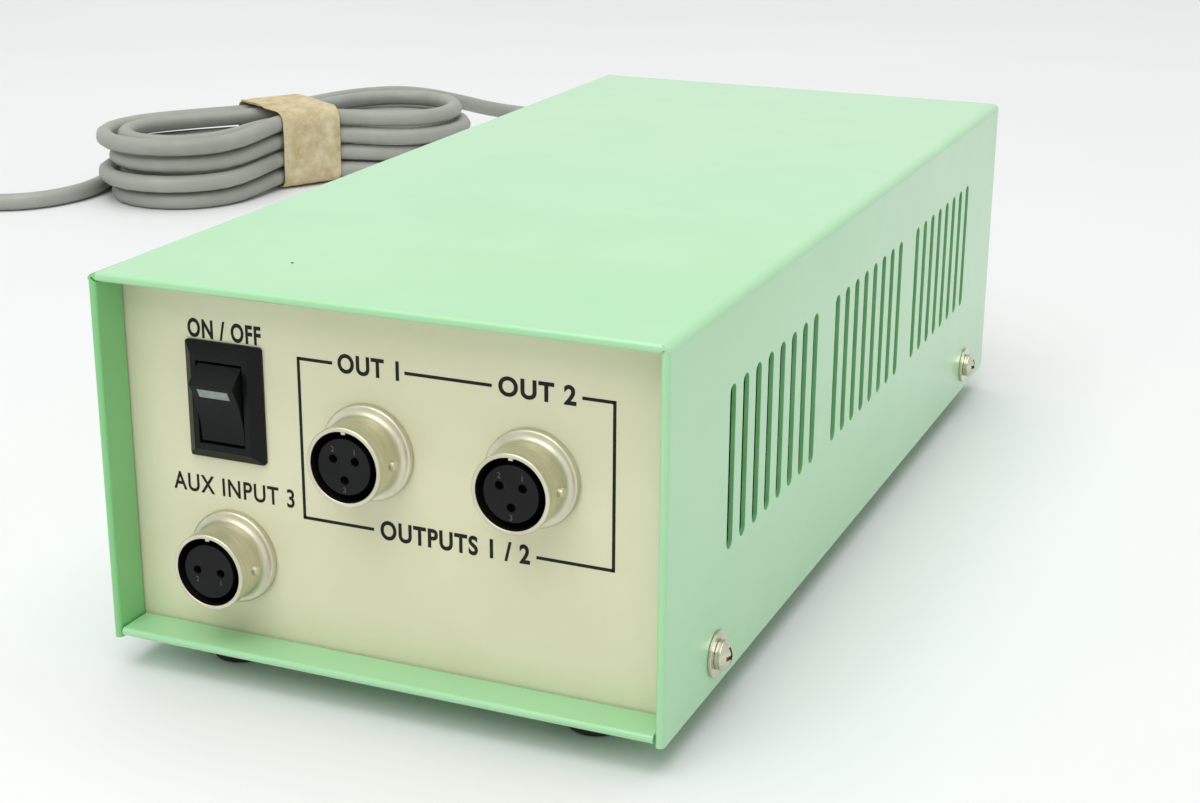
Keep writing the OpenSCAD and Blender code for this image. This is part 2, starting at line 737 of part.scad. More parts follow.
module socket_contacts(i) {
  color("goldenrod") translate([socket_x[i], 0, socket_z[i]]) for (a = socket_angles[i]) rotate([0, -a, 0])
    difference() {
      rod_y(contact_r, 0, insert_y + contact_sink, stem_y + insert_tail + contact_tail, contact_d / 2);
      rod_y(contact_r, 0, insert_y, insert_y + 7, contact_bore_d / 2);
    }
}

module socket_nuts() {
  color([0.82, 0.80, 0.74]) for (i = [0:2])
    translate([socket_x[i], -panel_in_y + socket_nut_t + seat_gap, socket_z[i]]) rotate([90, 0, 0])
      hex_nut(socket_nut_af, socket_nut_t, stem_d / 2 + seat_gap);
}

// ---- fuse holder ----

module fuse_holder() {
  tab_w = 4;
  color([0.13, 0.13, 0.13]) difference() {
    union() {
      rod_y(rear_x, fuse_z, fuse_back_y, fuse_flange_y, fuse_body_d / 2);
      rod_y(rear_x, fuse_z, panel_y + seat_gap, fuse_flange_y, fuse_flange_d / 2);
      translate([rear_x - tab_w / 2, fuse_back_y - 7, fuse_z - 0.4]) cube([tab_w, 7 + eps, 0.8]);
    }
    rod_y(rear_x, fuse_z, fuse_in_y - 0.5, fuse_flange_y + 1, fuse_bore_r);
  }
}

module fuse_nut() {
  color([0.15, 0.15, 0.15]) translate([rear_x, panel_in_y - seat_gap, fuse_z]) rotate([90, 0, 0])
    hex_nut(fuse_nut_af, fuse_nut_t, fuse_body_d / 2 + seat_gap);
}

module fuse_cap() {
  grip_len = fuse_cap_y - fuse_flange_y - cap_gap;
  color([0.12, 0.12, 0.12]) translate([rear_x, fuse_cap_y, fuse_z]) rotate([90, 0, 0]) difference() {
    rotate_extrude() polygon([[0, 0], [fuse_cap_d / 2 - 1, 0], [fuse_cap_d / 2 - 0.3, 0.5],
      [fuse_cap_d / 2, grip_len], [0, grip_len]]);
    for (a = [0:30:359]) rotate([0, 0, a]) translate([fuse_cap_d / 2 + 0.5, 0, -1])
      cylinder(h = grip_len, r = 0.9, $fn = 16); // grip flutes
    translate([-fuse_cap_d / 2 + 2, -0.6, -1]) cube([fuse_cap_d - 4, 1.2, 2.2]); // coin slot
  }
}

// Sprung sleeve that pulls the fuse out with the cap
module fuse_clip() {
  out_y = fuse_flange_y + cap_gap - seat_gap;
  color("silver") difference() {
    rod_y(rear_x, fuse_z, fuse_out_y - clip_len, out_y, clip_r);
    rod_y(rear_x, fuse_z, fuse_out_y - clip_len - 1, fuse_out_y + seat_gap, fuse_d / 2 + seat_gap);
    for (a = [0, 90]) translate([rear_x, fuse_out_y - clip_len / 2 - 2, fuse_z]) rotate([0, a, 0])
      cube([0.8, clip_len - 1, 2 * clip_r + 1], center = true);
  }
}

module fuse_glass() {
  color([0.85, 0.92, 0.95]) rod_y(rear_x, fuse_z, fuse_in_y + 0.5, fuse_out_y - 0.5, fuse_d / 2 - 0.3);
}

module fuse_ends() {
  cap_t = 0.4;
  color("silver") for (end = [[fuse_in_y, 0], [fuse_out_y - fuse_cap_len, 1]]) difference() {
    rod_y(rear_x, fuse_z, end[0], end[0] + fuse_cap_len, fuse_d / 2);
    rod_y(rear_x, fuse_z, end[0] + (end[1] == 0 ? cap_t : -1), end[0] + fuse_cap_len + (end[1] == 0 ? 1 : -cap_t),
      fuse_d / 2 - 0.3 + seat_gap);
  }
}

// ---- transformer ----

module transformer_core() {
  color([0.35, 0.34, 0.33]) translate([0, core_y, core_z]) difference() {
    translate([-core_w / 2, -core_stack / 2, 0]) cube([core_w, core_stack, core_h]);
    for (s = [-1, 1]) translate([s * (limb_w + window_w) / 2 - window_w / 2, -core_stack / 2 - 1, (core_h - window_h) / 2])
      cube([window_w, core_stack + 2, window_h]);
  }
}

// Frame of the coil former, from z0 to z1, reaching out by `over` past the limb
module bobbin_slab(z0, z1, over, over_y) {
  translate([-limb_w / 2 - over, -core_stack / 2 - over_y, z0])
    cube([limb_w + 2 * over, core_stack + 2 * over_y, z1 - z0]);
}

module transformer_bobbin() {
  z0 = core_z + (core_h - window_h) / 2 + seat_gap;
  z1 = z0 + window_h - 2 * seat_gap;
  color([0.85, 0.85, 0.80]) translate([0, core_y, 0]) difference() {
    union() {
      bobbin_slab(z0, z0 + bobbin_t, window_w - 0.3, coil_over);
      bobbin_slab(z1 - bobbin_t, z1, window_w - 0.3, coil_over);
      bobbin_slab(z0, z1, bobbin_t, bobbin_t);
    }
    bobbin_slab(z0 - 1, z1 + 1, seat_gap, seat_gap);
  }
}

module transformer_winding() {
  z0 = core_z + (core_h - window_h) / 2 + bobbin_t + 2 * seat_gap;
  coil_h = window_h - 2 * bobbin_t - 4 * seat_gap;
  over = window_w - 0.8;
  inner = bobbin_t + seat_gap;
  color([0.80, 0.70, 0.25]) translate([0, core_y, z0]) linear_extrude(coil_h) difference() {
    rounded_rect(limb_w + 2 * over, core_stack + 2 * coil_over - 1.6, 3);
    square([limb_w + 2 * inner, core_stack + 2 * inner], center = true);
  }
}

// Steel strap over the core, with a foot on each side
module transformer_strap() {
  out_w = core_w / 2 + seat_gap + strap_t;
  top = core_z + core_h + seat_gap;
  color([0.75, 0.75, 0.72]) translate([0, core_y, 0]) difference() {
    union() {
      translate([-out_w, -strap_w / 2, top]) cube([2 * out_w, strap_w, strap_t]);
      for (s = [-1, 1]) {
        translate([s * (out_w - strap_t / 2) - strap_t / 2, -strap_w / 2, floor_z + seat_gap])
          cube([strap_t, strap_w, top - floor_z]);
        translate([s * (out_w + strap_foot / 2) - strap_foot / 2 - (s > 0 ? eps : -eps), -strap_w / 2, floor_z + seat_gap])
          cube([strap_foot, strap_w, strap_t]);
      }
    }
    for (x = [-strap_hole_x, strap_hole_x]) translate([x, 0, floor_z - 1]) cylinder(h = 4, d = core_screw_d + 0.4);
  }
}

module transformer_screws() {
  len = strap_t + sheet_t + core_nut_t + 0.8;
  color("silver") at_core_screws() {
    translate([0, 0, floor_z + strap_t + 2 * seat_gap]) pan_screw(core_screw_d, core_head_d, core_head_h, len);
    translate([0, 0, foot_h - seat_gap - core_nut_t]) hex_nut(core_nut_af, core_nut_t, core_screw_d / 2 + seat_gap);
  }
}

// ---- circuit board ----

module circuit_board() {
  color([0.20, 0.42, 0.24]) difference() {
    translate([0, board_y, board_z + seat_gap]) linear_extrude(board_t - seat_gap) rounded_rect(board_w, board_d, 2);
    at_standoffs() translate([0, 0, board_z - 1]) cylinder(h = board_t + 2, r = screw_clear_r);
  }
}

module board_standoffs() {
  stud_len = 3;
  color("goldenrod") at_standoffs() difference() {
    union() {
      translate([0, 0, floor_z + seat_gap]) cylinder(h = standoff_h - 2 * seat_gap, d = 6 / cos(30), $fn = 6);
      translate([0, 0, floor_z - stud_len + 0.5]) cylinder(h = stud_len, d = screw_d);
    }
    translate([0, 0, board_z - 5]) cylinder(h = 6, r = tap_r);
  }
}

module board_screws() {
  color("silver") at_standoffs() translate([0, 0, board_top + seat_gap]) pan_screw(screw_d, 5.5, 2, board_t + 4);
}

// Places a component on the board, from the board's middle
module on_board(x, y) {
  translate([x, board_y + y, board_top + part_gap]) children();
}

module capacitor_can(r, h) {
  groove = 0.5;
  rotate_extrude() polygon([[0, 0], [r, 0], [r, 2.5], [r - groove, 3], [r - groove, 3.6], [r, 4.1], [r, h - 0.8],
    [r - 0.8, h], [0, h]]);
}

module filter_capacitors() {
  color([0.15, 0.22, 0.40]) {
    for (can = [big_can, second_can, small_can]) on_board(can[0], can[1]) capacitor_can(can[2], can[3]);
  }
}

module relay() {
  base_h = 1.6;
  color([0.85, 0.80, 0.55]) on_board(relay_place[0], relay_place[1]) {
    linear_extrude(base_h + eps) rounded_rect(relay_size[0], relay_size[1], 1);
    translate([0, 0, base_h]) linear_extrude(relay_size[2] - base_h)
      rounded_rect(relay_size[0] - 0.8, relay_size[1] - 0.8, 1);
  }
}

// Extruded heat sink: a plate with fins, standing on the board
module heatsink() {
  plate = 3;
  fin = 1.2;
  fins = 7;
  w = sink_size[0];
  color([0.30, 0.30, 0.31]) on_board(sink_place[0], sink_place[1]) linear_extrude(sink_size[2]) {
    translate([-w / 2, -plate / 2]) square([w, plate]);
    for (k = [0:fins - 1]) translate([-w / 2 + k * (w - fin) / (fins - 1), plate / 2 - eps]) square([fin, sink_size[1]]);
  }
}

// Power transistor against the heat sink's plate
module power_transistor() {
  body = [10.4, 4.5, 9.2];
  tab = [10.4, 1.3, 6.3];
  legs_h = 5;
  back = -1.5 - seat_gap;
  color([0.15, 0.15, 0.15]) on_board(sink_place[0], sink_place[1]) {
    translate([-body[0] / 2, back - body[1], legs_h]) cube(body);
    translate([-tab[0] / 2, back - tab[1], legs_h + body[2] - eps]) cube(tab);
    for (k = [-1:1]) translate([k * 2.54 - 0.4, back - 3, 0]) cube([0.8, 0.5, legs_h + eps]);
  }
}

// Screw terminals along the board's front edge
module terminal_block() {
  ways = 6;
  pitch = block_size[0] / ways;
  color([0.20, 0.45, 0.35]) on_board(block_place[0], block_place[1]) difference() {
    translate([-block_size[0] / 2, -block_size[1] / 2, 0]) cube(block_size);
    for (k = [0:ways - 1]) translate([(k - (ways - 1) / 2) * pitch, 0, 0]) {
      translate([0, 0.8, block_size[2] - 4]) cylinder(h = 5, r = 1.8, $fn = 24);
      translate([-1.6, -block_size[1] / 2 - 1, 1.6]) cube([3.2, 4, 3.6]);
    }
  }
}

module resistors() {
  body_r = 1.5;
  half = 4.5;
  wire = 0.7;
  color([0.75, 0.65, 0.50]) for (k = [0:4])
    on_board(resistor_place[0] + resistor_pitch * k, resistor_place[1]) {
      rod_y(0, body_r + 0.4, -half, half, body_r);
      for (s = [-1, 1]) translate([-wire / 2, s * (half + 0.8) - 0.8 - eps, 0])
        cube([wire, 1.6 + 2 * eps, body_r + 0.4 + wire / 2]);
    }
}

// ---- mains cord ----

// Tube swept along points, with `sides` sides and square ends
function unit(v) = v / norm(v);
function along(p, i) = unit(p[min(i + 1, len(p) - 1)] - p[max(i - 1, 0)]);
function ring(p, i, r, sides, t) = let(side = unit(cross(t, [0, 0, 1])), up = cross(side, t))
  [for (k = [0:sides - 1]) p[i] + r * (cos(360 * (k + 0.5) / sides) * side + sin(360 * (k + 0.5) / sides) * up)];
function last(p) = len(p) - 1;

module swept_tube(p, r, sides, start_dir, end_dir) {
  n = len(p);
  points = [for (i = [0:n - 1]) each
    ring(p, i, r, sides, i == 0 ? start_dir : i == n - 1 ? end_dir : along(p, i))];
  sidewalls = [for (i = [0:n - 2], k = [0:sides - 1]) let(a = i * sides + k, b = i * sides + (k + 1) % sides)
    each [[a, a + sides, b], [b, a + sides, b + sides]]];
  caps = [for (k = [1:sides - 2]) each [[0, k, k + 1],
    [(n - 1) * sides, (n - 1) * sides + k + 1, (n - 1) * sides + k]]];
  polyhedron(points, concat(sidewalls, caps));
}

// Smooth curve through points: each span is cut into `cuts` steps
function spline_at(a, b, c, d, t) = 0.5 * ((2 * b) + (c - a) * t + (2 * a - 5 * b + 4 * c - d) * t * t
  + (3 * b - a - 3 * c + d) * t * t * t);
function spline(p, cuts) = concat([for (i = [0:len(p) - 2], k = [0:cuts - 1])
  spline_at(i > 0 ? p[i - 1] : 2 * p[0] - p[1], p[i], p[i + 1], i < len(p) - 2 ? p[i + 2] : 2 * p[i + 1] - p[i], k / cuts)],
  [p[len(p) - 1]]);
function path_length(p) = len(p) < 2 ? 0 : [for (i = [1:len(p) - 1]) norm(p[i] - p[i - 1])] * [for (i = [1:len(p) - 1]) 1];

// Hank: s counts the loops, and whole numbers are at the waist of the first run
function hank_column(s) = s < 0 ? loops_per_layer - s : s > hank_loops ? loops_per_layer + s - hank_loops
  : abs(s % (2 * loops_per_layer) - loops_per_layer);
function ease(t) = t <= 0 ? 0 : t >= 1 ? 1 : t * t * (3 - 2 * t);
function hank_climb(s) = [for (j = [1:hank_layers - 1]) ease((s - j * loops_per_layer + run_part) / (2 * run_part))]
  * [for (j = [1:hank_layers - 1]) 1];
function waist(x) = (1 + cos(360 * x / hank_run)) / 2;
function hank_local(s) = let(f = s - floor(s), off = hank_fold_r + hank_step * hank_column(s), half = hank_run / 2)
  f <= run_part ? let(x = -half * f / run_part) [x, off - hank_pinch * waist(x)]
  : f < 0.5 - run_part ? let(a = 180 * (f - run_part) / (0.5 - 2 * run_part)) [-half - off * sin(a), off * cos(a)]
  : f <= 0.5 + run_part ? let(x = half * (f - 0.5) / run_part) [x, -off + hank_pinch * waist(x)]
  : f < 1 - run_part ? let(a = 180 * (f - 0.5 - run_part) / (0.5 - 2 * run_part)) [half + off * sin(a), -off * cos(a)]
  : let(x = half * (1 - f) / run_part) [x, off - hank_pinch * waist(x)];
function hank_place(q, z) = [hank_mid[0] + q[0] * cos(hank_turn) - q[1] * sin(hank_turn),
  hank_mid[1] + q[0] * sin(hank_turn) + q[1] * cos(hank_turn), z];
function hank_at(s) = let(q = hank_local(s), drawn = abs(q[0]) < hank_run / 2 ? waist(q[0]) : 0)
  hank_place(q, lay_z + hank_lift * drawn + hank_rise * (hank_layers - 1 - hank_climb(s)));
run_dir = [-cos(hank_turn), -sin(hank_turn), 0];
hank_first = hank_at(-run_part);
hank_last = hank_at(hank_loops + run_part);
hank_in = hank_first - lead_in * run_dir;
hank_out = hank_last + lead_in * run_dir;
hank_path = concat([hank_in, hank_first], [for (i = [-3:ring_count * hank_loops + 3]) hank_at(i / ring_count)],
  [hank_last, hank_out]);
lead_path = spline(concat([[rear_x, bush_end_y, bush_z], [rear_x, bush_end_y + 6, bush_z]], lead_points, [hank_in]), 2);
tail_path = spline(concat([hank_out], tail_points, [plug_start + [7, 0, 0], plug_start]), 2);

// Least distance between two stretches of the hank that aren't neighbours
fine_path = spline(hank_path, 3);
apart = 18;
least_gap = function() min([for (i = [0:len(fine_path) - 1 - apart]) min([for (j = [i + apart:len(fine_path) - 1])
  norm(fine_path[i] - fine_path[j])])]) - cord_d;

module cord_bush() {
  tip_r = cord_r + 1;
  base_r = cord_r + 2.2;
  neck_r = bush_flange_d / 2 - 1.3;
  flange_y = panel_y + bush_flange_t;
  color([0.20, 0.20, 0.20]) translate([rear_x, 0, bush_z]) rotate([-90, 0, 0]) difference() {
    rotate_extrude() polygon([[0, panel_in_y - 3], [neck_r - 0.8, panel_in_y - 3], [neck_r, panel_in_y],
      [neck_r, panel_y + seat_gap], [bush_flange_d / 2, panel_y + seat_gap], [bush_flange_d / 2, flange_y - 0.5],
      [bush_flange_d / 2 - 0.5, flange_y], [base_r, flange_y], [tip_r, bush_end_y], [0, bush_end_y]]);
    for (k = [0:3], m = [0, 1]) // flexing slots, alternately above and at the sides
      translate([0, 0, flange_y + 5 + 6 * k + 3 * m]) rotate([0, 0, 90 * m])
        for (s = [-1, 1]) translate([s * (cord_r + 1.5 + 0.6), 0, 0]) cube([3, 12, 1.4], center = true);
  }
}

module cord_lead() {
  color([0.45, 0.45, 0.44]) swept_tube(lead_path, cord_r, 8, [0, 1, 0], run_dir);
}

module cord_hank() {
  echo(least_gap_in_hank = least_gap());
  echo(cord_lengths = [path_length(lead_path), path_length(hank_path), path_length(tail_path)]);
  color([0.45, 0.45, 0.44]) swept_tube(hank_path, cord_r, 6, run_dir, run_dir);
}

// Band of tape round the hank's waist
module cord_tie() {
  flare = hank_pinch * (1 - waist(tie_w / 2));
  in_lo = -(hank_fold_r - hank_pinch + hank_step) - cord_r - flare - tie_gap;
  in_hi = hank_fold_r - hank_pinch + hank_step * loops_per_layer + cord_r + flare + tie_gap;
  z_lo = lay_z + hank_lift * waist(tie_w / 2) - cord_r - tie_gap;
  z_hi = lay_z + hank_lift + hank_rise * (hank_layers - 1) + cord_r + tie_gap;
  mid = [(in_lo + in_hi) / 2, (z_lo + z_hi) / 2];
  color([0.80, 0.70, 0.52]) translate([hank_mid[0], hank_mid[1], 0]) rotate([0, 0, hank_turn])
    bar_x(-tie_w / 2, tie_w / 2) translate(mid) difference() {
      rounded_rect(in_hi - in_lo + 2 * tie_t, z_hi - z_lo + 2 * tie_t, tie_corner);
      rounded_rect(in_hi - in_lo, z_hi - z_lo, tie_corner - tie_t);
    }
}

module cord_tail() {
  color([0.45, 0.45, 0.44]) swept_tube(tail_path, cord_r, 8, run_dir, [-1, 0, 0]);
}

// Moulded plug, lying flat, with its blades to -X
module plug_body() {
  head_x = -plug_relief - plug_len;
  shoulder_x = -plug_relief - plug_shoulder;
  color([0.42, 0.42, 0.41]) translate([plug_start[0], plug_start[1], 0]) union() {
    intersection() {
      translate([0, 0, plug_start[2] - plug_h / 2]) linear_extrude(plug_h) polygon([
        [-plug_relief, -plug_tail_w / 2], [shoulder_x + 4, -plug_w / 2 + 1], [shoulder_x, -plug_w / 2],
        [head_x, -plug_w / 2], [head_x, plug_w / 2], [shoulder_x, plug_w / 2],
        [shoulder_x + 4, plug_w / 2 - 1], [-plug_relief, plug_tail_w / 2]]);
      rotate([0, 90, 0]) translate([-plug_start[2], 0, head_x]) linear_extrude(plug_len)
        rounded_rect(plug_h, plug_w, 4);
    }
    translate([0, 0, plug_start[2]]) rotate([0, -90, 0]) cylinder(h = plug_relief + eps, r1 = cord_r + 0.8, r2 = cord_r + 2.2);
  }
}

module plug_blades() {
  face_x = plug_start[0] - plug_relief - plug_len;
  color("goldenrod") for (s = [-1, 1]) translate([face_x, plug_start[1] + s * pin_pitch / 2, plug_start[2]]) difference() {
    translate([-pin_len, -pin_t / 2, -pin_w / 2]) cube([pin_len - seat_gap, pin_t, pin_w]);
    translate([-pin_len + 3.5, 2, 0]) rotate([90, 0, 0]) cylinder(h = 4, r = 1.6, $fn = 24);
    for (m = [0, 1]) mirror([0, 0, m]) translate([-pin_len, -2, pin_w / 2]) rotate([0, 45, 0])
      cube([2, 4, 2], center = false);
  }
}

top_cover();
bottom_tray();
front_panel();
rear_panel();
panel_screws();
side_screws();
side_washers();
clinch_nuts();
rubber_feet();
foot_screws();
foot_nuts();
switch_housing();
switch_rocker();
rocker_mark();
switch_terminals();
socket_shell(0);  // socket_shell_1
socket_shell(1);  // socket_shell_2
socket_shell(2);  // socket_shell_3
socket_insert(0);  // socket_insert_1
socket_insert(1);  // socket_insert_2
socket_insert(2);  // socket_insert_3
socket_contacts(0);  // socket_contacts_1
socket_contacts(1);  // socket_contacts_2
socket_contacts(2);  // socket_contacts_3
socket_nuts();
fuse_holder();
fuse_nut();
fuse_cap();
fuse_clip();
fuse_glass();
fuse_ends();
transformer_core();
transformer_bobbin();
transformer_winding();
transformer_strap();
transformer_screws();
circuit_board();
board_standoffs();
board_screws();
filter_capacitors();
relay();
heatsink();
power_transistor();
terminal_block();
resistors();
cord_bush();
cord_lead();
cord_hank();
cord_tie();
cord_tail();
plug_body();
plug_blades();
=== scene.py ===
# Dresses the mains power box: camera, cord, painted case, switch, sockets, rear and inner parts, stage.
import bpy
import bmesh
import math
from mathutils import Matrix, Vector, noise


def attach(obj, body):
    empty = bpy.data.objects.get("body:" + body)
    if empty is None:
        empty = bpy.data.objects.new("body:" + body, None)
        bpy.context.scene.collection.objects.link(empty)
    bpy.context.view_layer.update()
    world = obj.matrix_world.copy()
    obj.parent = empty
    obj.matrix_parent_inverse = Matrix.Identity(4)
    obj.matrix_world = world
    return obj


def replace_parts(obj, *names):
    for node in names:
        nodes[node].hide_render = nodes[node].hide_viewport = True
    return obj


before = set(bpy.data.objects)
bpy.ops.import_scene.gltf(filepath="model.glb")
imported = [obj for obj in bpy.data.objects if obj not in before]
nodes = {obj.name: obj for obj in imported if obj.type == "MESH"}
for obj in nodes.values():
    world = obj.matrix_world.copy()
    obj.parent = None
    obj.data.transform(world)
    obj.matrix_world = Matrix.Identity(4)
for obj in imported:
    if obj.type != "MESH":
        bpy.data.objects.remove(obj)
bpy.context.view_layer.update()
mm = 0.001
print("frame loaded:", len(nodes), "nodes")


# ---- small helpers ----

def linear(hexText):
    values = [int(hexText[i:i + 2], 16) / 255 for i in (0, 2, 4)]
    return tuple(v / 12.92 if v <= 0.04045 else ((v + 0.055) / 1.055) ** 2.4 for v in values) + (1.0,)


def addNode(tree, kind, values=None, links=None):
    node = tree.nodes.new(kind)
    for name, value in (values or {}).items():
        if name == "ramp":  # list of (place, colour)
            for i, (place, colour) in enumerate(value):
                element = node.color_ramp.elements[i] if i < 2 else node.color_ramp.elements.new(place)
                element.position, element.color = place, colour
        elif isinstance(name, int) or name in node.inputs:
            node.inputs[name].default_value = value
        else:
            setattr(node, name, value)
    for name, socket in (links or {}).items():
        tree.links.new(socket, node.inputs[name])
    return node


def mixInto(tree, bsdf, mask, hexText):
    # lays a second colour over the base colour wherever the mask is 1
    under = bsdf.inputs["Base Color"].links[0].from_socket
    over = addNode(tree, "ShaderNodeMix", {"data_type": "RGBA", 7: linear(hexText)}, {0: mask, 6: under})
    tree.links.new(over.outputs[2], bsdf.inputs["Base Color"])


def addHeight(tree, bsdf, height, depthMm):
    # a further bump on top of those already there
    under = bsdf.inputs["Normal"].links[0].from_socket
    bump = addNode(tree, "ShaderNodeBump", {"Strength": 1.0, "Distance": depthMm * mm},
                   {"Height": height, "Normal": under})
    tree.links.new(bump.outputs[0], bsdf.inputs["Normal"])


def surface(name, shader, colours, mottleMm, rough, grainMm, depthMm, squeeze=(1, 1, 1)):
    # mottled base colour and roughness with a fine grain; returns what a further layer needs
    mat = bpy.data.materials.new(name)
    mat.use_nodes = True
    tree = mat.node_tree
    bsdf = tree.nodes["Principled BSDF"]
    for key, value in shader.items():
        bsdf.inputs[key].default_value = value
    coords = addNode(tree, "ShaderNodeTexCoord").outputs["Object"]
    place = addNode(tree, "ShaderNodeMapping", {"Scale": squeeze}, {"Vector": coords}).outputs[0]
    mottle = addNode(tree, "ShaderNodeTexNoise", {"Scale": 1000 / mottleMm, "Detail": 3.0, "Roughness": 0.6},
                     {"Vector": place})
    grain = addNode(tree, "ShaderNodeTexNoise", {"Scale": 1000 / grainMm, "Detail": 2.0}, {"Vector": place})
    share = addNode(tree, "ShaderNodeMapRange", {"From Min": 0.3, "From Max": 0.7}, {"Value": mottle.outputs["Fac"]})
    tint = addNode(tree, "ShaderNodeMix", {"data_type": "RGBA", 6: linear(colours[0]), 7: linear(colours[1])},
                   {0: share.outputs[0]})
    gloss = addNode(tree, "ShaderNodeMapRange",
                    {"From Min": 0.3, "From Max": 0.7, "To Min": rough[0], "To Max": rough[1]},
                    {"Value": mottle.outputs["Fac"]})
    bump = addNode(tree, "ShaderNodeBump", {"Strength": 1.0, "Distance": depthMm * mm}, {"Height": grain.outputs["Fac"]})
    tree.links.new(tint.outputs[2], bsdf.inputs["Base Color"])
    tree.links.new(gloss.outputs[0], bsdf.inputs["Roughness"])
    tree.links.new(bump.outputs[0], bsdf.inputs["Normal"])
    return mat, tree, bsdf, coords


def speckMask(tree, coords, everyMm, sizeMm, share):
    # round specks: one in each cell of a scatter, most of them left out
    cells = addNode(tree, "ShaderNodeTexVoronoi", {"Scale": 1000 / everyMm}, {"Vector": coords})
    near = addNode(tree, "ShaderNodeMath", {"operation": "LESS_THAN", 1: sizeMm / everyMm},
                   {0: cells.outputs["Distance"]})
    pick = addNode(tree, "ShaderNodeSeparateColor", links={0: cells.outputs["Color"]})
    chosen = addNode(tree, "ShaderNodeMath", {"operation": "LESS_THAN", 1: share}, {0: pick.outputs[0]})
    both = addNode(tree, "ShaderNodeMath", {"operation": "MULTIPLY"}, {0: near.outputs[0], 1: chosen.outputs[0]})
    return both.outputs[0]


def along(tree, coords, axis):
    return addNode(tree, "ShaderNodeSeparateXYZ", links={0: coords}).outputs[axis]


def stripes(tree, value, pitchMm, share):
    # 1 on a share of every pitch, 0 between
    turns = addNode(tree, "ShaderNodeMath", {"operation": "MULTIPLY", 1: 1000 / pitchMm}, {0: value})
    part = addNode(tree, "ShaderNodeMath", {"operation": "FRACT"}, {0: turns.outputs[0]})
    return addNode(tree, "ShaderNodeMath", {"operation": "LESS_THAN", 1: share}, {0: part.outputs[0]}).outputs[0]


def addObject(name, mesh, mat, body="case"):
    obj = bpy.data.objects.new(name, mesh)
    bpy.context.scene.collection.objects.link(obj)
    for one in mat if isinstance(mat, (list, tuple)) else [mat]:
        mesh.materials.append(one)
    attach(obj, body)
    return obj


def meshFrom(bm, name, smoothAngle=32):
    # shades smooth, with an edge kept sharp where its faces meet at more than the angle
    bmesh.ops.recalc_face_normals(bm, faces=bm.faces)
    for face in bm.faces:
        face.smooth = True
    for edge in bm.edges:
        edge.smooth = len(edge.link_faces) != 2 or edge.calc_face_angle(3.2) < math.radians(smoothAngle)
    mesh = bpy.data.meshes.new(name)
    bm.to_mesh(mesh)
    bm.free()
    return mesh


def roundEdges(obj, widthMm, segments=3, sharpAngle=30):
    bevel = obj.modifiers.new("edges", "BEVEL")
    bevel.width = widthMm * mm
    bevel.segments = segments
    bevel.limit_method = "ANGLE"
    bevel.angle_limit = math.radians(sharpAngle)
    bevel.harden_normals = True
    bevel.use_clamp_overlap = True


def dress(node, name, mat, body="case", edgeMm=0.2, segments=3, sharpAngle=30):
    # stands a merged copy with rounded edges in a node's place
    bm = bmesh.new()
    bm.from_mesh(nodes[node].data)
    bmesh.ops.remove_doubles(bm, verts=bm.verts, dist=0.002 * mm)
    bmesh.ops.dissolve_limit(bm, angle_limit=math.radians(0.5), verts=bm.verts, edges=bm.edges)
    for face in bm.faces:
        face.material_index = 0
    obj = addObject(name, meshFrom(bm, name), mat, body)
    if edgeMm:
        roundEdges(obj, edgeMm, segments, sharpAngle)
    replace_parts(obj, node)
    return obj


def ring(bm, profile, centre, axis, steps=72, start=0.0, sweep=360.0):
    # turns a section (radius, distance along the axis, mm) about the axis through the centre
    axis = Vector(axis).normalized()
    side = axis.orthogonal().normalized()
    side = Matrix.Rotation(math.radians(start), 3, axis) @ side
    verts = [bm.verts.new((Vector(centre) + side * r + axis * d) * mm) for r, d in profile]
    edges = [bm.edges.new(pair) for pair in zip(verts, verts[1:])]
    out = bmesh.ops.spin(bm, geom=verts + edges, cent=Vector(centre) * mm, axis=axis, angle=math.radians(sweep),
                         steps=steps, use_merge=sweep == 360.0)
    bmesh.ops.remove_doubles(bm, verts=bm.verts, dist=0.0005 * mm)
    return out


def block(bm, low, high):
    made = bmesh.ops.create_cube(bm, size=1.0)["verts"]
    size = Vector(high) - Vector(low)
    mid = (Vector(high) + Vector(low)) / 2
    bmesh.ops.scale(bm, vec=size * mm, verts=made)
    bmesh.ops.translate(bm, vec=mid * mm, verts=made)
    return made


def sweepWire(bm, points, r, sides=12):
    # round wire through points given in mm, closed at both ends
    points = [Vector(p) for p in points]
    side = (points[1] - points[0]).orthogonal().normalized()
    last = None
    for i, spot in enumerate(points):
        way = (points[min(i + 1, len(points) - 1)] - points[max(i - 1, 0)]).normalized()
        side = (side - way * side.dot(way)).normalized()
        up = way.cross(side)
        row = []
        for k in range(sides):
            a = 2 * math.pi * k / sides
            row.append(bm.verts.new((spot + (side * math.cos(a) + up * math.sin(a)) * r) * mm))
        if last:
            for k in range(sides):
                bm.faces.new((last[k], last[(k + 1) % sides], row[(k + 1) % sides], row[k]))
        else:
            bm.faces.new(row)
        last = row
    bm.faces.new(last)


# ---- camera ----

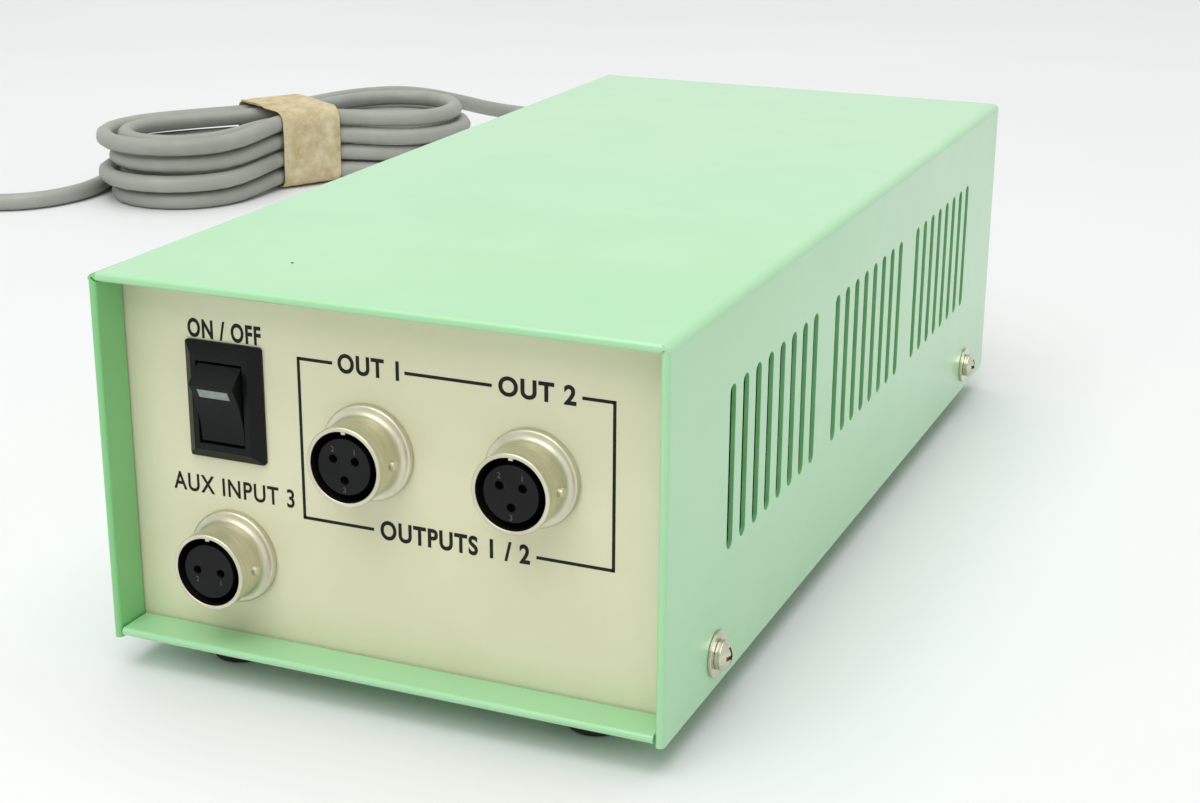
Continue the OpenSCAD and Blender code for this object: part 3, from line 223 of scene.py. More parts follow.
cameraView = {"place": (159.27 * mm, -391.34 * mm, 164.94 * mm), "azimuth": 22.92, "elevation": 18.50,
              "roll": 0.35, "lens": 60.64}
cameraData = bpy.data.cameras.new("camera")
cameraData.lens, cameraData.sensor_width = cameraView["lens"], 36.0
cameraData.clip_start, cameraData.clip_end = 0.01, 20.0
camera = bpy.data.objects.new("camera", cameraData)
bpy.context.scene.collection.objects.link(camera)
turn, lift = math.radians(cameraView["azimuth"]), math.radians(cameraView["elevation"])
backward = Vector((math.sin(turn) * math.cos(lift), -math.cos(turn) * math.cos(lift), math.sin(lift)))
camera.matrix_world = (Matrix.Translation(cameraView["place"]) @ (-backward).to_track_quat("-Z", "Y").to_matrix().to_4x4()
                       @ Matrix.Rotation(math.radians(cameraView["roll"]), 4, "Z"))
bpy.context.scene.camera = camera


# ---- mains cord ----

cordSettings = {
    "diameter": 6.0, "layZ": 3.05, "bushEnd": (-30.0, 139.5, 26.0),
    "hankMid": (-244.0, 261.0), "hankTurn": 60.0, "run": 90.0, "foldR": 18.0, "step": 7.6, "rise": 6.6,
    "pinch": 16.5, "lift": 2.0, "loops": 6, "layers": 4, "runPart": 0.137, "leadIn": 6.0,
    "lead": [(-30, 145.5, 26), (-30, 150, 25.5), (-30, 161, 22.5), (-30.5, 172, 17.5), (-31.5, 183, 12), (-33, 194, 7.4),
             (-35, 206, 4.4), (-38, 219, 3.2), (-44, 237, 3.05), (-54, 258, 3.05), (-67, 283, 3.05),
             (-82, 308, 3.05), (-97, 333, 3.05), (-111, 356, 3.05), (-124.5, 378, 3.05), (-137, 394.5, 3.05),
             (-151, 406, 3.05), (-168, 410.5, 3.1), (-184.5, 407, 3.6), (-197.5, 397.5, 5), (-207, 385.5, 7.5),
             (-215, 372.5, 11), (-222.5, 359.5, 15.4), (-230, 346.5, 19.4), (-237.5, 333.5, 22)],
    "tail": [(-298.3, 226.4, 3.05), (-298.4, 218.5, 3.05), (-296.6, 210, 3.05), (-295.7, 201.5, 3.05),
             (-296.6, 193, 3.05), (-299.4, 184.8, 3.05), (-304.2, 177.8, 3.05), (-311, 172.9, 3.05),
             (-319, 169.9, 3.2), (-329, 168.3, 4.8)],
    "plugStart": (-348.0, 168.0, 7.6),
}


def ease(t):
    t = min(max(t, 0.0), 1.0)
    return t * t * (3 - 2 * t)


def waist(x, run):
    return (1 + math.cos(2 * math.pi * x / run)) / 2


def toBench(x, y, z, c):
    a = math.radians(c["hankTurn"])
    midX, midY = c["hankMid"]
    return Vector((midX + x * math.cos(a) - y * math.sin(a), midY + x * math.sin(a) + y * math.cos(a), z))


def hankPoint(s, c):
    # s counts the loops; whole numbers are at the waist of the first run
    perLayer, run, part, half = c["loops"] / c["layers"], c["run"], c["runPart"], c["run"] / 2
    if s < 0:
        column = perLayer - s
    elif s > c["loops"]:
        column = perLayer + s - c["loops"]
    else:
        column = abs(s % (2 * perLayer) - perLayer)
    off, f = c["foldR"] + c["step"] * column, s - math.floor(s)
    if f <= part:
        x = -half * f / part
        y = off - c["pinch"] * waist(x, run)
    elif f < 0.5 - part:
        a = math.pi * (f - part) / (0.5 - 2 * part)
        x, y = -half - off * math.sin(a), off * math.cos(a)
    elif f <= 0.5 + part:
        x = half * (f - 0.5) / part
        y = -off + c["pinch"] * waist(x, run)
    elif f < 1 - part:
        a = math.pi * (f - 0.5 - part) / (0.5 - 2 * part)
        x, y = half + off * math.sin(a), -off * math.cos(a)
    else:
        x = half * (1 - f) / part
        y = off - c["pinch"] * waist(x, run)
    climb = sum(ease((s - j * perLayer + part) / (2 * part)) for j in range(1, c["layers"]))
    z = c["layZ"] + c["lift"] * (waist(x, run) if abs(x) < half else 0) + c["rise"] * (c["layers"] - 1 - climb)
    return toBench(x, y, z, c)


def smoothPath(points, cuts):
    result = []
    for i in range(len(points) - 1):
        b, c = points[i], points[i + 1]
        a = points[i - 1] if i else 2 * b - c
        d = points[i + 2] if i < len(points) - 2 else 2 * c - b
        for k in range(cuts):
            t = k / cuts
            bend, twist = 2 * a - 5 * b + 4 * c - d, 3 * b - a - 3 * c + d
            result.append(0.5 * (2 * b + (c - a) * t + bend * t * t + twist * t ** 3))
    return result + [points[-1]]


def cordPath(c):
    a = math.radians(c["hankTurn"])
    runDir = Vector((-math.cos(a), -math.sin(a), 0))
    first, last = hankPoint(-c["runPart"], c), hankPoint(c["loops"] + c["runPart"], c)
    lead = [Vector(c["bushEnd"])] + [Vector(p) for p in c["lead"]]
    loops = [hankPoint(i / 48, c) for i in range(-6, 48 * c["loops"] + 7)]
    tail = [Vector(p) for p in c["tail"]] + [Vector(c["plugStart"]) + Vector((7, 0, 0)), Vector(c["plugStart"])]
    leadPath = smoothPath(lead + [first - c["leadIn"] * runDir], 3)
    tailPath = smoothPath([last + c["leadIn"] * runDir] + tail, 3)
    return leadPath + [first] + loops + [last] + tailPath


path = [p * mm for p in cordPath(cordSettings)]
curve = bpy.data.curves.new("mainsCord", "CURVE")
curve.dimensions = "3D"
curve.bevel_depth = cordSettings["diameter"] / 2 * mm
curve.bevel_resolution = 4
spline = curve.splines.new("POLY")
spline.points.add(len(path) - 1)
for point, co in zip(spline.points, path):
    point.co = (*co, 1.0)
spline.use_smooth = True

# Extruded PVC jacket: satin grey, slightly dusty, so the loops catch soft lines of light
pvcJacket, tree, bsdf, coords = surface("pvcJacketGrey", {"IOR": 1.5},
                                        ("a6a7a0", "96978f"), 24, (0.4, 0.52), 0.7, 0.02)
mixInto(tree, bsdf, speckMask(tree, coords, 6, 0.5, 0.08), "b4b4ae")
mainsCord = bpy.data.objects.new("mainsCord", curve)
bpy.context.scene.collection.objects.link(mainsCord)
mainsCord.data.materials.append(pvcJacket)
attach(mainsCord, "case")
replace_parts(mainsCord, "cord_lead", "cord_hank", "cord_tail")

# Crinkled paper tape, wound round the waist of the hank with its end lapping over
tapeSettings = {"inLo": -15.53, "inHi": 19.33, "zLo": 1.02, "zHi": 28.55, "corner": 4.0, "width": 24.0, "thick": 0.45,
                "crinkle": 0.34, "across": 30}


def bandPath(c, out):
    # rounded rectangle round the hank's waist, in steps of about 1 mm, starting in the middle of the top
    lo, hi, zLo, zHi, r = c["inLo"], c["inHi"], c["zLo"], c["zHi"], c["corner"]
    corners = [(hi - r, zHi - r, 90), (hi - r, zLo + r, 0), (lo + r, zLo + r, -90), (lo + r, zHi - r, -180)]
    points = [((lo + hi) / 2, zHi + out)]
    for y, z, start in corners:
        turns = [math.radians(start - k * 11.25) for k in range(9)]
        ends = [(y + (r + out) * math.cos(a), z + (r + out) * math.sin(a)) for a in turns]
        gap = Vector(ends[0]) - Vector(points[-1])
        count = max(1, int(gap.length))
        points += [tuple(Vector(points[-1]) + gap * k / count) for k in range(1, count)] + ends
    gap = Vector(((lo + hi) / 2, zHi + out)) - Vector(points[-1])
    return points + [tuple(Vector(points[-1]) + gap * k / int(gap.length)) for k in range(1, int(gap.length))]


def tapeBand(c):
    bm = bmesh.new()
    loop = bandPath(c, 0.0)
    lap = 16
    loop = loop + loop[:lap]
    mid = Vector(((c["inLo"] + c["inHi"]) / 2, (c["zLo"] + c["zHi"]) / 2))
    rows = []
    for i, spot in enumerate(loop):
        away = (Vector(spot) - mid).normalized()
        layer = 0.5 * ease((i - len(loop) + lap + 4) / 5)  # the lap climbs onto the first turn
        row = []
        for j in range(c["across"] + 1):
            x = (j / c["across"] - 0.5) * c["width"]
            sample = Vector((x * 0.22, (i % (len(loop) - lap)) * 0.16, 0.7))
            fold = noise.noise(sample) + 0.5 * abs(noise.noise(sample * 2.7 + Vector((5, 1, 3)))) - 0.25
            edge = 0.35 * max(0, abs(x) / (c["width"] / 2) - 0.75) * noise.noise(Vector((i * 0.3, x, 2))) * 4
            out = 0.15 + layer + min(max(c["crinkle"] * (fold + edge), -0.3), 0.3)
            y, z = spot[0] + away.x * out, max(spot[1] + away.y * out, 0.35)
            row.append(bm.verts.new(toBench(x, y, z, cordSettings) * mm))
        rows.append(row)
    for a, b in zip(rows, rows[1:]):
        for k in range(c["across"]):
            bm.faces.new((a[k], a[k + 1], b[k + 1], b[k]))
    return bm


# Crepe paper masking tape: dry tan paper with fine cross ridges, a little translucent-looking, never shiny
crepeTape, tree, bsdf, coords = surface("crepePaperTape", {"IOR": 1.45},
                                        ("dccfae", "bca97e"), 5, (0.72, 0.9), 0.5, 0.12)
mixInto(tree, bsdf, speckMask(tree, coords, 3, 0.6, 0.05), "a08c63")
stretch = addNode(tree, "ShaderNodeMapping", {"Rotation": (0, 0, -math.radians(60)), "Scale": (1.0, 0.25, 0.25)},
                  {"Vector": coords})
ridges = addNode(tree, "ShaderNodeTexNoise", {"Scale": 900.0, "Detail": 2.0}, {"Vector": stretch.outputs[0]})
addHeight(tree, bsdf, ridges.outputs["Fac"], 0.2)
tape = addObject("paperTape", meshFrom(tapeBand(tapeSettings), "paperTape", 60), crepeTape)
solid = tape.modifiers.new("thickness", "SOLIDIFY")
solid.thickness = tapeSettings["thick"] * mm
solid.offset = 1.0
smooth = tape.modifiers.new("smoothing", "SUBSURF")
smooth.levels = smooth.render_levels = 1
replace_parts(tape, "cord_tie")
print("tape wound")


# ---- painted case ----

# Painted shade on the left front hem, a deeper green where its inner face and front edge lie in shade: middle and half
# width of its place along X and along Y
hemShadeSettings = {"bands": [(-53.05, 0.75), (-111.0, 4.1)], "tone": "7bc57c"}

# Green stove enamel on steel: a clear coat pales it where it is seen aslant; fine orange peel, a few dust nibs
greenEnamel, tree, bsdf, coords = surface("paleGreenEnamel", {"IOR": 1.5, "Coat Weight": 1.0, "Coat Roughness": 0.25},
                                          ("a4daa6", "9fd6a2"), 38, (0.34, 0.44), 0.9, 0.035)
mixInto(tree, bsdf, speckMask(tree, coords, 7, 0.28, 0.05), "5d6f5a")
# painted shade: the left front hem is mixed to a deeper green where it lies in shade
bands = []
for axis, (middle, half) in enumerate(hemShadeSettings["bands"]):
    bands.append(addNode(tree, "ShaderNodeMath", {"operation": "COMPARE", 1: middle * mm, 2: half * mm},
                         {0: along(tree, coords, axis)}).outputs[0])
hem = addNode(tree, "ShaderNodeMath", {"operation": "MULTIPLY"}, {0: bands[0], 1: bands[1]})
mixInto(tree, bsdf, hem.outputs[0], hemShadeSettings["tone"])
waves = addNode(tree, "ShaderNodeTexNoise", {"Scale": 110.0, "Detail": 1.0}, {"Vector": coords})
addHeight(tree, bsdf, waves.outputs["Fac"], 0.07)

# Cream enamel on the aluminium panels: a little glossier, brushed lines just showing through
creamEnamel, tree, bsdf, coords = surface("creamEnamel", {"IOR": 1.5, "Coat Weight": 0.2, "Coat Roughness": 0.2},
                                          ("e0debf", "dbd8b7"), 30, (0.36, 0.46), 0.7, 0.03)
mixInto(tree, bsdf, speckMask(tree, coords, 8, 0.22, 0.05), "7a745c")

# Zinc plate over turned steel: soft grey-yellow metal with fine turning marks
zincPlate, tree, bsdf, coords = surface("zincPlate", {"Metallic": 1.0},
                                        ("c9c4b4", "b0ab9b"), 3, (0.24, 0.38), 0.25, 0.02, (1, 1, 6))

# Bright zinc of the side screws and washers: more polished than the rest
brightZinc, tree, bsdf, coords = surface("brightZinc", {"Metallic": 1.0},
                                         ("dad6c6", "c8c3b0"), 4, (0.12, 0.22), 0.3, 0.01)

# Satin nickel over brass: warm and pale, with the faint rings a lathe leaves
satinNickel, tree, bsdf, coords = surface("satinNickel", {"Metallic": 1.0},
                                          ("dcd7c4", "cdc7b2"), 6, (0.42, 0.52), 0.3, 0.008, (1, 7, 1))

# Painted shade on the wall and floor of the sockets' bores: near black, so they read as deep holes in shade
paintedBoreShade, tree, bsdf, coords = surface("paintedBoreShade", {"IOR": 1.5, "Specular IOR Level": 0.2},
                                            ("0e0e0d", "171613"), 5, (0.4, 0.5), 0.3, 0.01)

# Moulded rubber: matt, slightly bloomed
footRubber, tree, bsdf, coords = surface("mouldedRubber", {"IOR": 1.5},
                                         ("17181a", "242527"), 5, (0.62, 0.8), 0.3, 0.04)

# Black ABS of the switch: fine-grained moulding with a broad soft sheen on its edges
switchAbs, tree, bsdf, coords = surface("fineGrainAbs", {"IOR": 1.5, "Specular IOR Level": 0.15},
                                        ("0f1011", "151617"), 9, (0.3, 0.4), 0.35, 0.02)

# Glossier black of the phenolic mouldings
blackPhenolic, tree, bsdf, coords = surface("blackPhenolic", {"IOR": 1.55, "Specular IOR Level": 0.15},
                                            ("0e0e0f", "151516"), 6, (0.24, 0.36), 0.4, 0.01)

# Pale grey filling of the rocker's mark
markPaint, tree, bsdf, coords = surface("paleGreyFill", {"IOR": 1.5},
                                        ("949d9b", "858e8c"), 1.5, (0.3, 0.45), 0.2, 0.02)

# Brass of the contacts, slightly dulled
dullBrass, tree, bsdf, coords = surface("dullBrass", {"Metallic": 1.0},
                                        ("c9a55a", "b08d48"), 3, (0.2, 0.36), 0.25, 0.01)

# Screen-printed black: matt ink with a slightly broken edge of its own grain
printInk, tree, bsdf, coords = surface("screenInk", {"IOR": 1.5, "Specular IOR Level": 0.2},
                                       ("131412", "20211d"), 1.2, (0.5, 0.7), 0.15, 0.01)

# Moulded contact numbers, a lighter grey than the insert around them
numeralGrey, tree, bsdf, coords = surface("greyNumeralPhenolic", {"IOR": 1.55},
                                          ("505050", "404040"), 2, (0.4, 0.55), 0.2, 0.01)

# Enamel on the cut walls of the slots, less glossy, with painted shade: a deeper green than on the faces, where the
# narrow slots lie in shade
slotShadeEnamel, tree, bsdf, coords = surface("slotWallShadeEnamel", {"IOR": 1.5, "Specular IOR Level": 0.3},
                                         ("8ad08d", "7cc080"), 9, (0.5, 0.6), 0.5, 0.03)

slotWalls = {"middleX": 53.6, "halfX": 0.35, "endY": 110, "low": 25, "high": 65}
cover = dress("top_cover", "paintedCover", greenEnamel, edgeMm=0.12, segments=2)
# painted shade: the slots' cut walls take the deeper green of the slot material
cover.data.materials.append(slotShadeEnamel)
for face in cover.data.polygons:
    spot = face.center / mm
    inWall = abs(abs(spot.x) - slotWalls["middleX"]) < slotWalls["halfX"] and abs(spot.y) < slotWalls["endY"]
    face.material_index = int(inWall and slotWalls["low"] < spot.z < slotWalls["high"] and abs(face.normal.x) < 0.5)
dress("bottom_tray", "paintedTray", greenEnamel, edgeMm=0.12, segments=2)
dress("front_panel", "paintedFrontPanel", creamEnamel, edgeMm=0.25)
dress("rear_panel", "paintedRearPanel", creamEnamel, edgeMm=0.25)
for node, name, mat in [("panel_screws", "zincPanelScrews", zincPlate), ("side_screws", "zincSideScrews", brightZinc),
                        ("side_washers", "zincWashers", brightZinc), ("clinch_nuts", "zincClinchNuts", zincPlate),
                        ("foot_screws", "zincFootScrews", zincPlate), ("foot_nuts", "zincFootNuts", zincPlate)]:
    dress(node, name, mat, edgeMm=0.12, segments=2)
dress("rubber_feet", "mouldedFeet", footRubber, edgeMm=0.4)


def dab(name, place, size, mat, seed):
    # small irregular blob lying on a face that looks up; size holds its half-lengths
    bm = bmesh.new()
    made = bmesh.ops.create_icosphere(bm, subdivisions=3, radius=1.0)["verts"]
    for v in made:
        push = 1 + 0.3 * noise.noise(v.co * 1.3 + Vector((seed, 0, 0)))
        v.co = Vector((v.co.x * size[0], v.co.y * size[1], max(v.co.z, 0.0) * size[2])) * push * mm
    bmesh.ops.translate(bm, verts=made, vec=Vector(place) * mm)
    return addObject(name, meshFrom(bm, name, 70), mat)


# Clear glue that ran out under the panel: cloudy, wet-looking
clearGlue, tree, bsdf, coords = surface("clearGlue", {"IOR": 1.48, "Transmission Weight": 0.5},
                                        ("e9eee4", "dfe6d8"), 2, (0.1, 0.2), 0.3, 0.01)

# Bare primer where the paint is chipped: dry tan
chipPrimer, tree, bsdf, coords = surface("chipPrimer", {"IOR": 1.5}, ("c09a62", "a37f4c"), 1, (0.6, 0.75), 0.2, 0.02)

dab("glueDrop", (-44.3, -107.9, 7.22), (1.5, 0.75, 0.6), clearGlue, 1.0)
dab("paintChip", (41.0, -114.45, 7.22), (0.55, 0.35, 0.06), chipPrimer, 4.0)
dab("gritSpeck", (-24.8, -95.2, 75.02), (0.3, 0.2, 0.12), footRubber, 7.0)
print("case dressed")


# ---- rocker switch ----

dress("switch_housing", "switchHousing", switchAbs, edgeMm=0.22)
dress("switch_rocker", "switchRocker", switchAbs, "rocker", edgeMm=0.35, segments=4)
dress("rocker_mark", "rockerMark", markPaint, "rocker", edgeMm=0.1)
dress("switch_terminals", "switchTerminals", dullBrass, edgeMm=0.12)
print("switch dressed")


# ---- bayonet sockets ----

socketSettings = {
    "places": [(-3.8, 46.8), (27.1, 46.8), (-32.0, 22.9)], "angles": [(30, 150, 270), (30, 150, 270), (0, 180)],
    "panelY": 107.0, "rimY": 116.0, "stemY": 98.0, "barrelR": 7.1, "backR": 6.85, "boreR": 6.3, "flangeR": 8.7,
    "flangeT": 1.4, "fillet": 1.2, "ringLen": 3.0, "insertR": 5.0, "stemR": 6.0,
    "studBack": 4.3, "studR": 0.9, "studOut": 0.8,
}


def arc(centre, r, start, end, steps):
    return [(centre[0] + r * math.cos(math.radians(start + (end - start) * k / steps)),
             centre[1] + r * math.sin(math.radians(start + (end - start) * k / steps))) for k in range(steps + 1)]


def socketShell(c, x, z):
    # one turned shell: flange, hollow fillet, barrel, rounded rim, bore, and the threaded stem behind the panel
    face, rim, back = c["panelY"] + c["flangeT"], c["rimY"], c["stemY"]
    r, backR, bore, flange, fillet = c["barrelR"], c["backR"], c["boreR"], c["flangeR"], c["fillet"]
    profile = [(c["insertR"] + 0.05, back), (c["stemR"] - 0.4, back), (c["stemR"] - 0.05, back + 0.35)]
    crest = back + 0.7
    while crest < c["panelY"] - 2.6:  # thread of 0.75 mm pitch
        profile += [(c["stemR"] - 0.02, crest), (c["stemR"] - 0.3, crest + 0.375)]
        crest += 0.75
    profile += [(c["stemR"] - 0.02, c["panelY"] - 2.0), (c["stemR"] - 0.02, c["panelY"] + 0.03),
                (flange - 0.25, c["panelY"] + 0.03)]
    profile += arc((flange - 0.3, c["panelY"] + 0.33), 0.3, -90, 0, 3)
    profile += arc((flange - 0.5, face - 0.5), 0.5, 0, 90, 5)
    profile += arc((backR + fillet, face + fillet), fillet, 270, 180, 8)
    step = rim - c["ringLen"]
    profile += [(backR, step - 0.25), (backR + 0.08, step - 0.2), (r - 0.06, step - 0.05), (r, step + 0.04)]
    profile += arc((r - 0.3, rim - 0.3), 0.3, 0, 90, 5) + arc((bore + 0.2, rim - 0.2), 0.2, 90, 180, 4)
    profile += [(bore, face + 0.25), (bore - 0.25, face), (c["insertR"] + 0.05, face), (c["insertR"] + 0.05, back)]
    bm = bmesh.new()
    ring(bm, profile, (x, 0, z), (0, -1, 0), 96)
    # painted shade: the bore's wall and floor take the near-black shade material
    for wall in bm.faces:  # the bore's wall and floor are dark
        spot = wall.calc_center_median() / mm
        wall.material_index = int(spot.y < -c["panelY"] and math.hypot(spot.x - x, spot.z - z) < bore + 0.02)
    for side in (-1, 1):  # domed studs, pressed in
        radius, tip = c["studR"], r + c["studOut"]
        stud = [(0.0, backR - 0.5), (radius, backR - 0.5), (radius, tip - 0.25), (radius * 0.8, tip - 0.08),
                (radius * 0.45, tip - 0.01), (0.0, tip)]
        ring(bm, stud, (x, c["studBack"] - rim, z), (side, 0, 0), 24)
    key = block(bm, (x - 0.4, 0.4 - rim, z + bore - 0.6), (x + 0.4, -face, z + bore + 0.2))
    edges = [e for e in bm.edges if all(v in key for v in e.verts) and all(v.co.z < (z + bore) * mm for v in e.verts)]
    bmesh.ops.bevel(bm, geom=edges, offset=0.15 * mm, segments=2, profile=0.5, material=-1, affect="EDGES")
    return bm


def digits(text, heightMm, place, mat, name, depthMm=0.1, widthMm=None, boldMm=0.0):
    # a legend made into a mesh, upright on a plane that faces the front
    words = bpy.data.curves.new(name, "FONT")
    words.body = text
    words.size = heightMm / 0.72 * mm
    words.align_x = "CENTER"
    words.align_y = "CENTER"
    words.extrude = depthMm / 2 * mm
    words.offset = boldMm * mm
    words.space_character = 1.12 if boldMm else 1.0
    holder = bpy.data.objects.new(name, words)
    bpy.context.scene.collection.objects.link(holder)
    mesh = bpy.data.meshes.new_from_object(holder.evaluated_get(bpy.context.evaluated_depsgraph_get()))
    bpy.data.objects.remove(holder)
    mesh.name = name
    ends = [min(v.co.x for v in mesh.vertices), max(v.co.x for v in mesh.vertices)]
    squeeze = widthMm * mm / (ends[1] - ends[0]) if widthMm else 1.0
    mesh.transform(Matrix.Translation(Vector(place) * mm) @ Matrix.Rotation(math.radians(90), 4, "X")
                   @ Matrix.Diagonal((squeeze, 1, 1, 1)) @ Matrix.Translation((-(ends[0] + ends[1]) / 2, 0, 0)))
    return addObject(name, mesh, mat)


numeralSettings = {"height": 1.0, "y": -115.62, "circle": 2.4, "shift": 1.75, "depth": 0.1}
for i, ((x, z), angles) in enumerate(zip(socketSettings["places"], socketSettings["angles"]), 1):
    shell = addObject("turnedShell" + str(i), meshFrom(socketShell(socketSettings, x, z), "turnedShell" + str(i), 28),
                      [satinNickel, paintedBoreShade])
    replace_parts(shell, "socket_shell_" + str(i))
    dress("socket_insert_" + str(i), "socketInsert" + str(i), blackPhenolic, edgeMm=0.12)
    dress("socket_contacts_" + str(i), "socketContacts" + str(i), dullBrass, edgeMm=0.08)
    for k, a in enumerate(angles, 1):  # moulded contact numbers, above the upper contacts and below the others
        up = numeralSettings["shift"] if 0 < a < 180 else -numeralSettings["shift"]
        across, rise = (numeralSettings["circle"] * turned(math.radians(a)) for turned in (math.cos, math.sin))
        digits(str(k), numeralSettings["height"], (x + across, numeralSettings["y"], z + rise + up), numeralGrey,
               "contactNumber" + str(i) + str(k), numeralSettings["depth"])
dress("socket_nuts", "nickelNuts", satinNickel, edgeMm=0.15)
print("sockets turned")


# ---- legends on the front panel ----

legendSettings = {"y": -107.03, "line": 0.58, "box": (-17.15, 41.65, 32.5, 61.8),
                  "top": [(-17.15, -10.45), (3.45, 19.7), (35.95, 41.65)], "bottom": [(-17.15, -3.3), (27.65, 41.65)],
                  # text, height, middle along X and Z, width, boldness
                  "words": [("ON / OFF", 3.3, -31.9, 64.6, 14.9, 0.14), ("OUT 1", 3.3, -3.5, 61.8, 11.8, 0.14),
                            ("OUT 2", 3.3, 27.9, 61.8, 14.0, 0.14), ("OUTPUTS 1 / 2", 3.4, 12.2, 32.5, 28.5, 0.14),
                            ("AUX INPUT 3", 3.4, -31.7, 35.4, 25.1, 0.07)]}


def bracketLines(c):
    bm = bmesh.new()
    x0, x1, z0, z1 = c["box"]
    half = c["line"] / 2
    bars = [(a, b, z1 - half, z1 + half) for a, b in c["top"]] + [(a, b, z0 - half, z0 + half) for a, b in c["bottom"]]
    bars += [(x0 - half, x0 + half, z0 - half, z1 + half), (x1 - half, x1 + half, z0 - half, z1 + half)]
    for a, b, low, high in bars:
        block(bm, (a, c["y"] - 0.02, low), (b, c["y"] + 0.02, high))
    return bm


lines = addObject("bracketLines", meshFrom(bracketLines(legendSettings), "bracketLines"), printInk)
roundEdges(lines, 0.015, 1)
for k, (text, height, x, z, width, bold) in enumerate(legendSettings["words"], 1):
    digits(text, height, (x, legendSettings["y"], z), printInk, "legendWord" + str(k), 0.04, width, bold)
print("legends printed")


# ---- rear: fuse holder and cord bush ----

# Clear glass of the fuse, very faintly green
fuseTube, tree, bsdf, coords = surface("fuseGlass", {"IOR": 1.5, "Transmission Weight": 1.0},
                                       ("eef6f2", "e4f0ea"), 4, (0.02, 0.06), 0.5, 0.002)

# Soft vinyl of the bush: matt black with a grain that hides finger marks
bushVinyl, tree, bsdf, coords = surface("bushVinyl", {"IOR": 1.5}, ("1b1b1c", "262627"), 6, (0.5, 0.64), 0.5, 0.03)

dress("fuse_holder", "fuseHolder", blackPhenolic, edgeMm=0.25)
dress("fuse_nut", "fuseNut", blackPhenolic, edgeMm=0.3)
dress("fuse_cap", "fuseCap", blackPhenolic, "fuse_knob", edgeMm=0.2)
dress("fuse_clip", "fuseClip", zincPlate, "fuse_carrier", edgeMm=0.06, segments=2)
dress("fuse_glass", "fuseGlass", fuseTube, "fuse_carrier", edgeMm=0.2)
dress("fuse_ends", "fuseEnds", satinNickel, "fuse_carrier", edgeMm=0.15)
dress("cord_bush", "cordBush", bushVinyl, edgeMm=0.25)
print("rear dressed")


# ---- transformer ----

# Stacked laminations: dark varnished edges, one line each half millimetre
laminations, tree, bsdf, coords = surface("varnishedLaminations", {"Metallic": 0.7},
                                          ("3b3733", "4a453f"), 8, (0.35, 0.55), 0.4, 0.03, (1, 8, 1))
sheetEdges = stripes(tree, along(tree, coords, 1), 0.5, 0.22)
mixInto(tree, bsdf, sheetEdges, "1d1b19")
addHeight(tree, bsdf, sheetEdges, -0.06)

# Nylon of the coil former, smooth and slightly waxy
formerNylon, tree, bsdf, coords = surface("formerNylon", {"IOR": 1.53, "Subsurface Weight": 0.05},
                                          ("d9d6c6", "cfccba"), 9, (0.35, 0.5), 0.6, 0.02)

# Polyester tape over the coil: amber, glossy, with the turns of wire just felt underneath
coilTape, tree, bsdf, coords = surface("amberCoilTape", {"IOR": 1.6, "Coat Weight": 0.5, "Coat Roughness": 0.12},
                                       ("c79b2e", "b98c26"), 7, (0.2, 0.32), 0.6, 0.02)
mixInto(tree, bsdf, stripes(tree, along(tree, coords, 2), 9.5, 0.03), "8d6a1c")
addHeight(tree, bsdf, addNode(tree, "ShaderNodeTexWave", {"bands_direction": "Z", "Scale": 320.0, "Distortion": 1.5},
                              {"Vector": coords}).outputs["Fac"], 0.08)

dress("transformer_core", "laminatedCore", laminations, edgeMm=0.3)
dress("transformer_bobbin", "coilFormer", formerNylon, edgeMm=0.25)
dress("transformer_winding", "tapedCoil", coilTape, edgeMm=0.6, segments=4)
dress("transformer_strap", "coreStrap", zincPlate, edgeMm=0.3)
dress("transformer_screws", "coreScrews", zincPlate, edgeMm=0.12, segments=2)
print("transformer dressed")


# ---- circuit board ----

# Solder resist over copper tracks: mid green, tracks a shade paler and slightly raised
boardResist, tree, bsdf, coords = surface("solderResist", {"IOR": 1.5, "Coat Weight": 0.4, "Coat Roughness": 0.1},
                                          ("2a6a3c", "256137"), 12, (0.25, 0.35), 0.5, 0.01)
cells = addNode(tree, "ShaderNodeTexVoronoi", {"feature": "DISTANCE_TO_EDGE", "Scale": 150.0, "Randomness": 0.55},
                {"Vector": addNode(tree, "ShaderNodeMapping", {"Scale": (1.0, 1.0, 0.02)}, {"Vector": coords}).outputs[0]})
tracks = addNode(tree, "ShaderNodeMath", {"operation": "LESS_THAN", 1: 0.07}, {0: cells.outputs["Distance"]})
mixInto(tree, bsdf, tracks.outputs[0], "4c8f4f")
addHeight(tree, bsdf, tracks.outputs[0], 0.035)

# Printed blue sleeve of the capacitors, bare aluminium on top
canSleeve, tree, bsdf, coords = surface("canSleeve", {"IOR": 1.5, "Coat Weight": 0.3, "Coat Roughness": 0.1},
                                        ("1c2f5c", "18294f"), 9, (0.22, 0.32), 0.5, 0.01)
canTop, tree, bsdf, coords = surface("canAluminium", {"Metallic": 1.0},
                                     ("cfd1d2", "bfc1c3"), 5, (0.25, 0.4), 0.3, 0.01)

stripeInk, tree, bsdf, coords = surface("paleStripeInk", {"IOR": 1.5}, ("b9c4d6", "a9b5ca"), 4, (0.3, 0.4), 0.4, 0.01)
mixInto(tree, bsdf, stripes(tree, along(tree, coords, 2), 5.0, 0.12), "1c2f5c")

# Relay cover: translucent-looking cream polycarbonate, smooth
relayCover, tree, bsdf, coords = surface("relayCover", {"IOR": 1.58, "Subsurface Weight": 0.08},
                                         ("dcd2a8", "d2c79b"), 10, (0.2, 0.3), 0.6, 0.01)

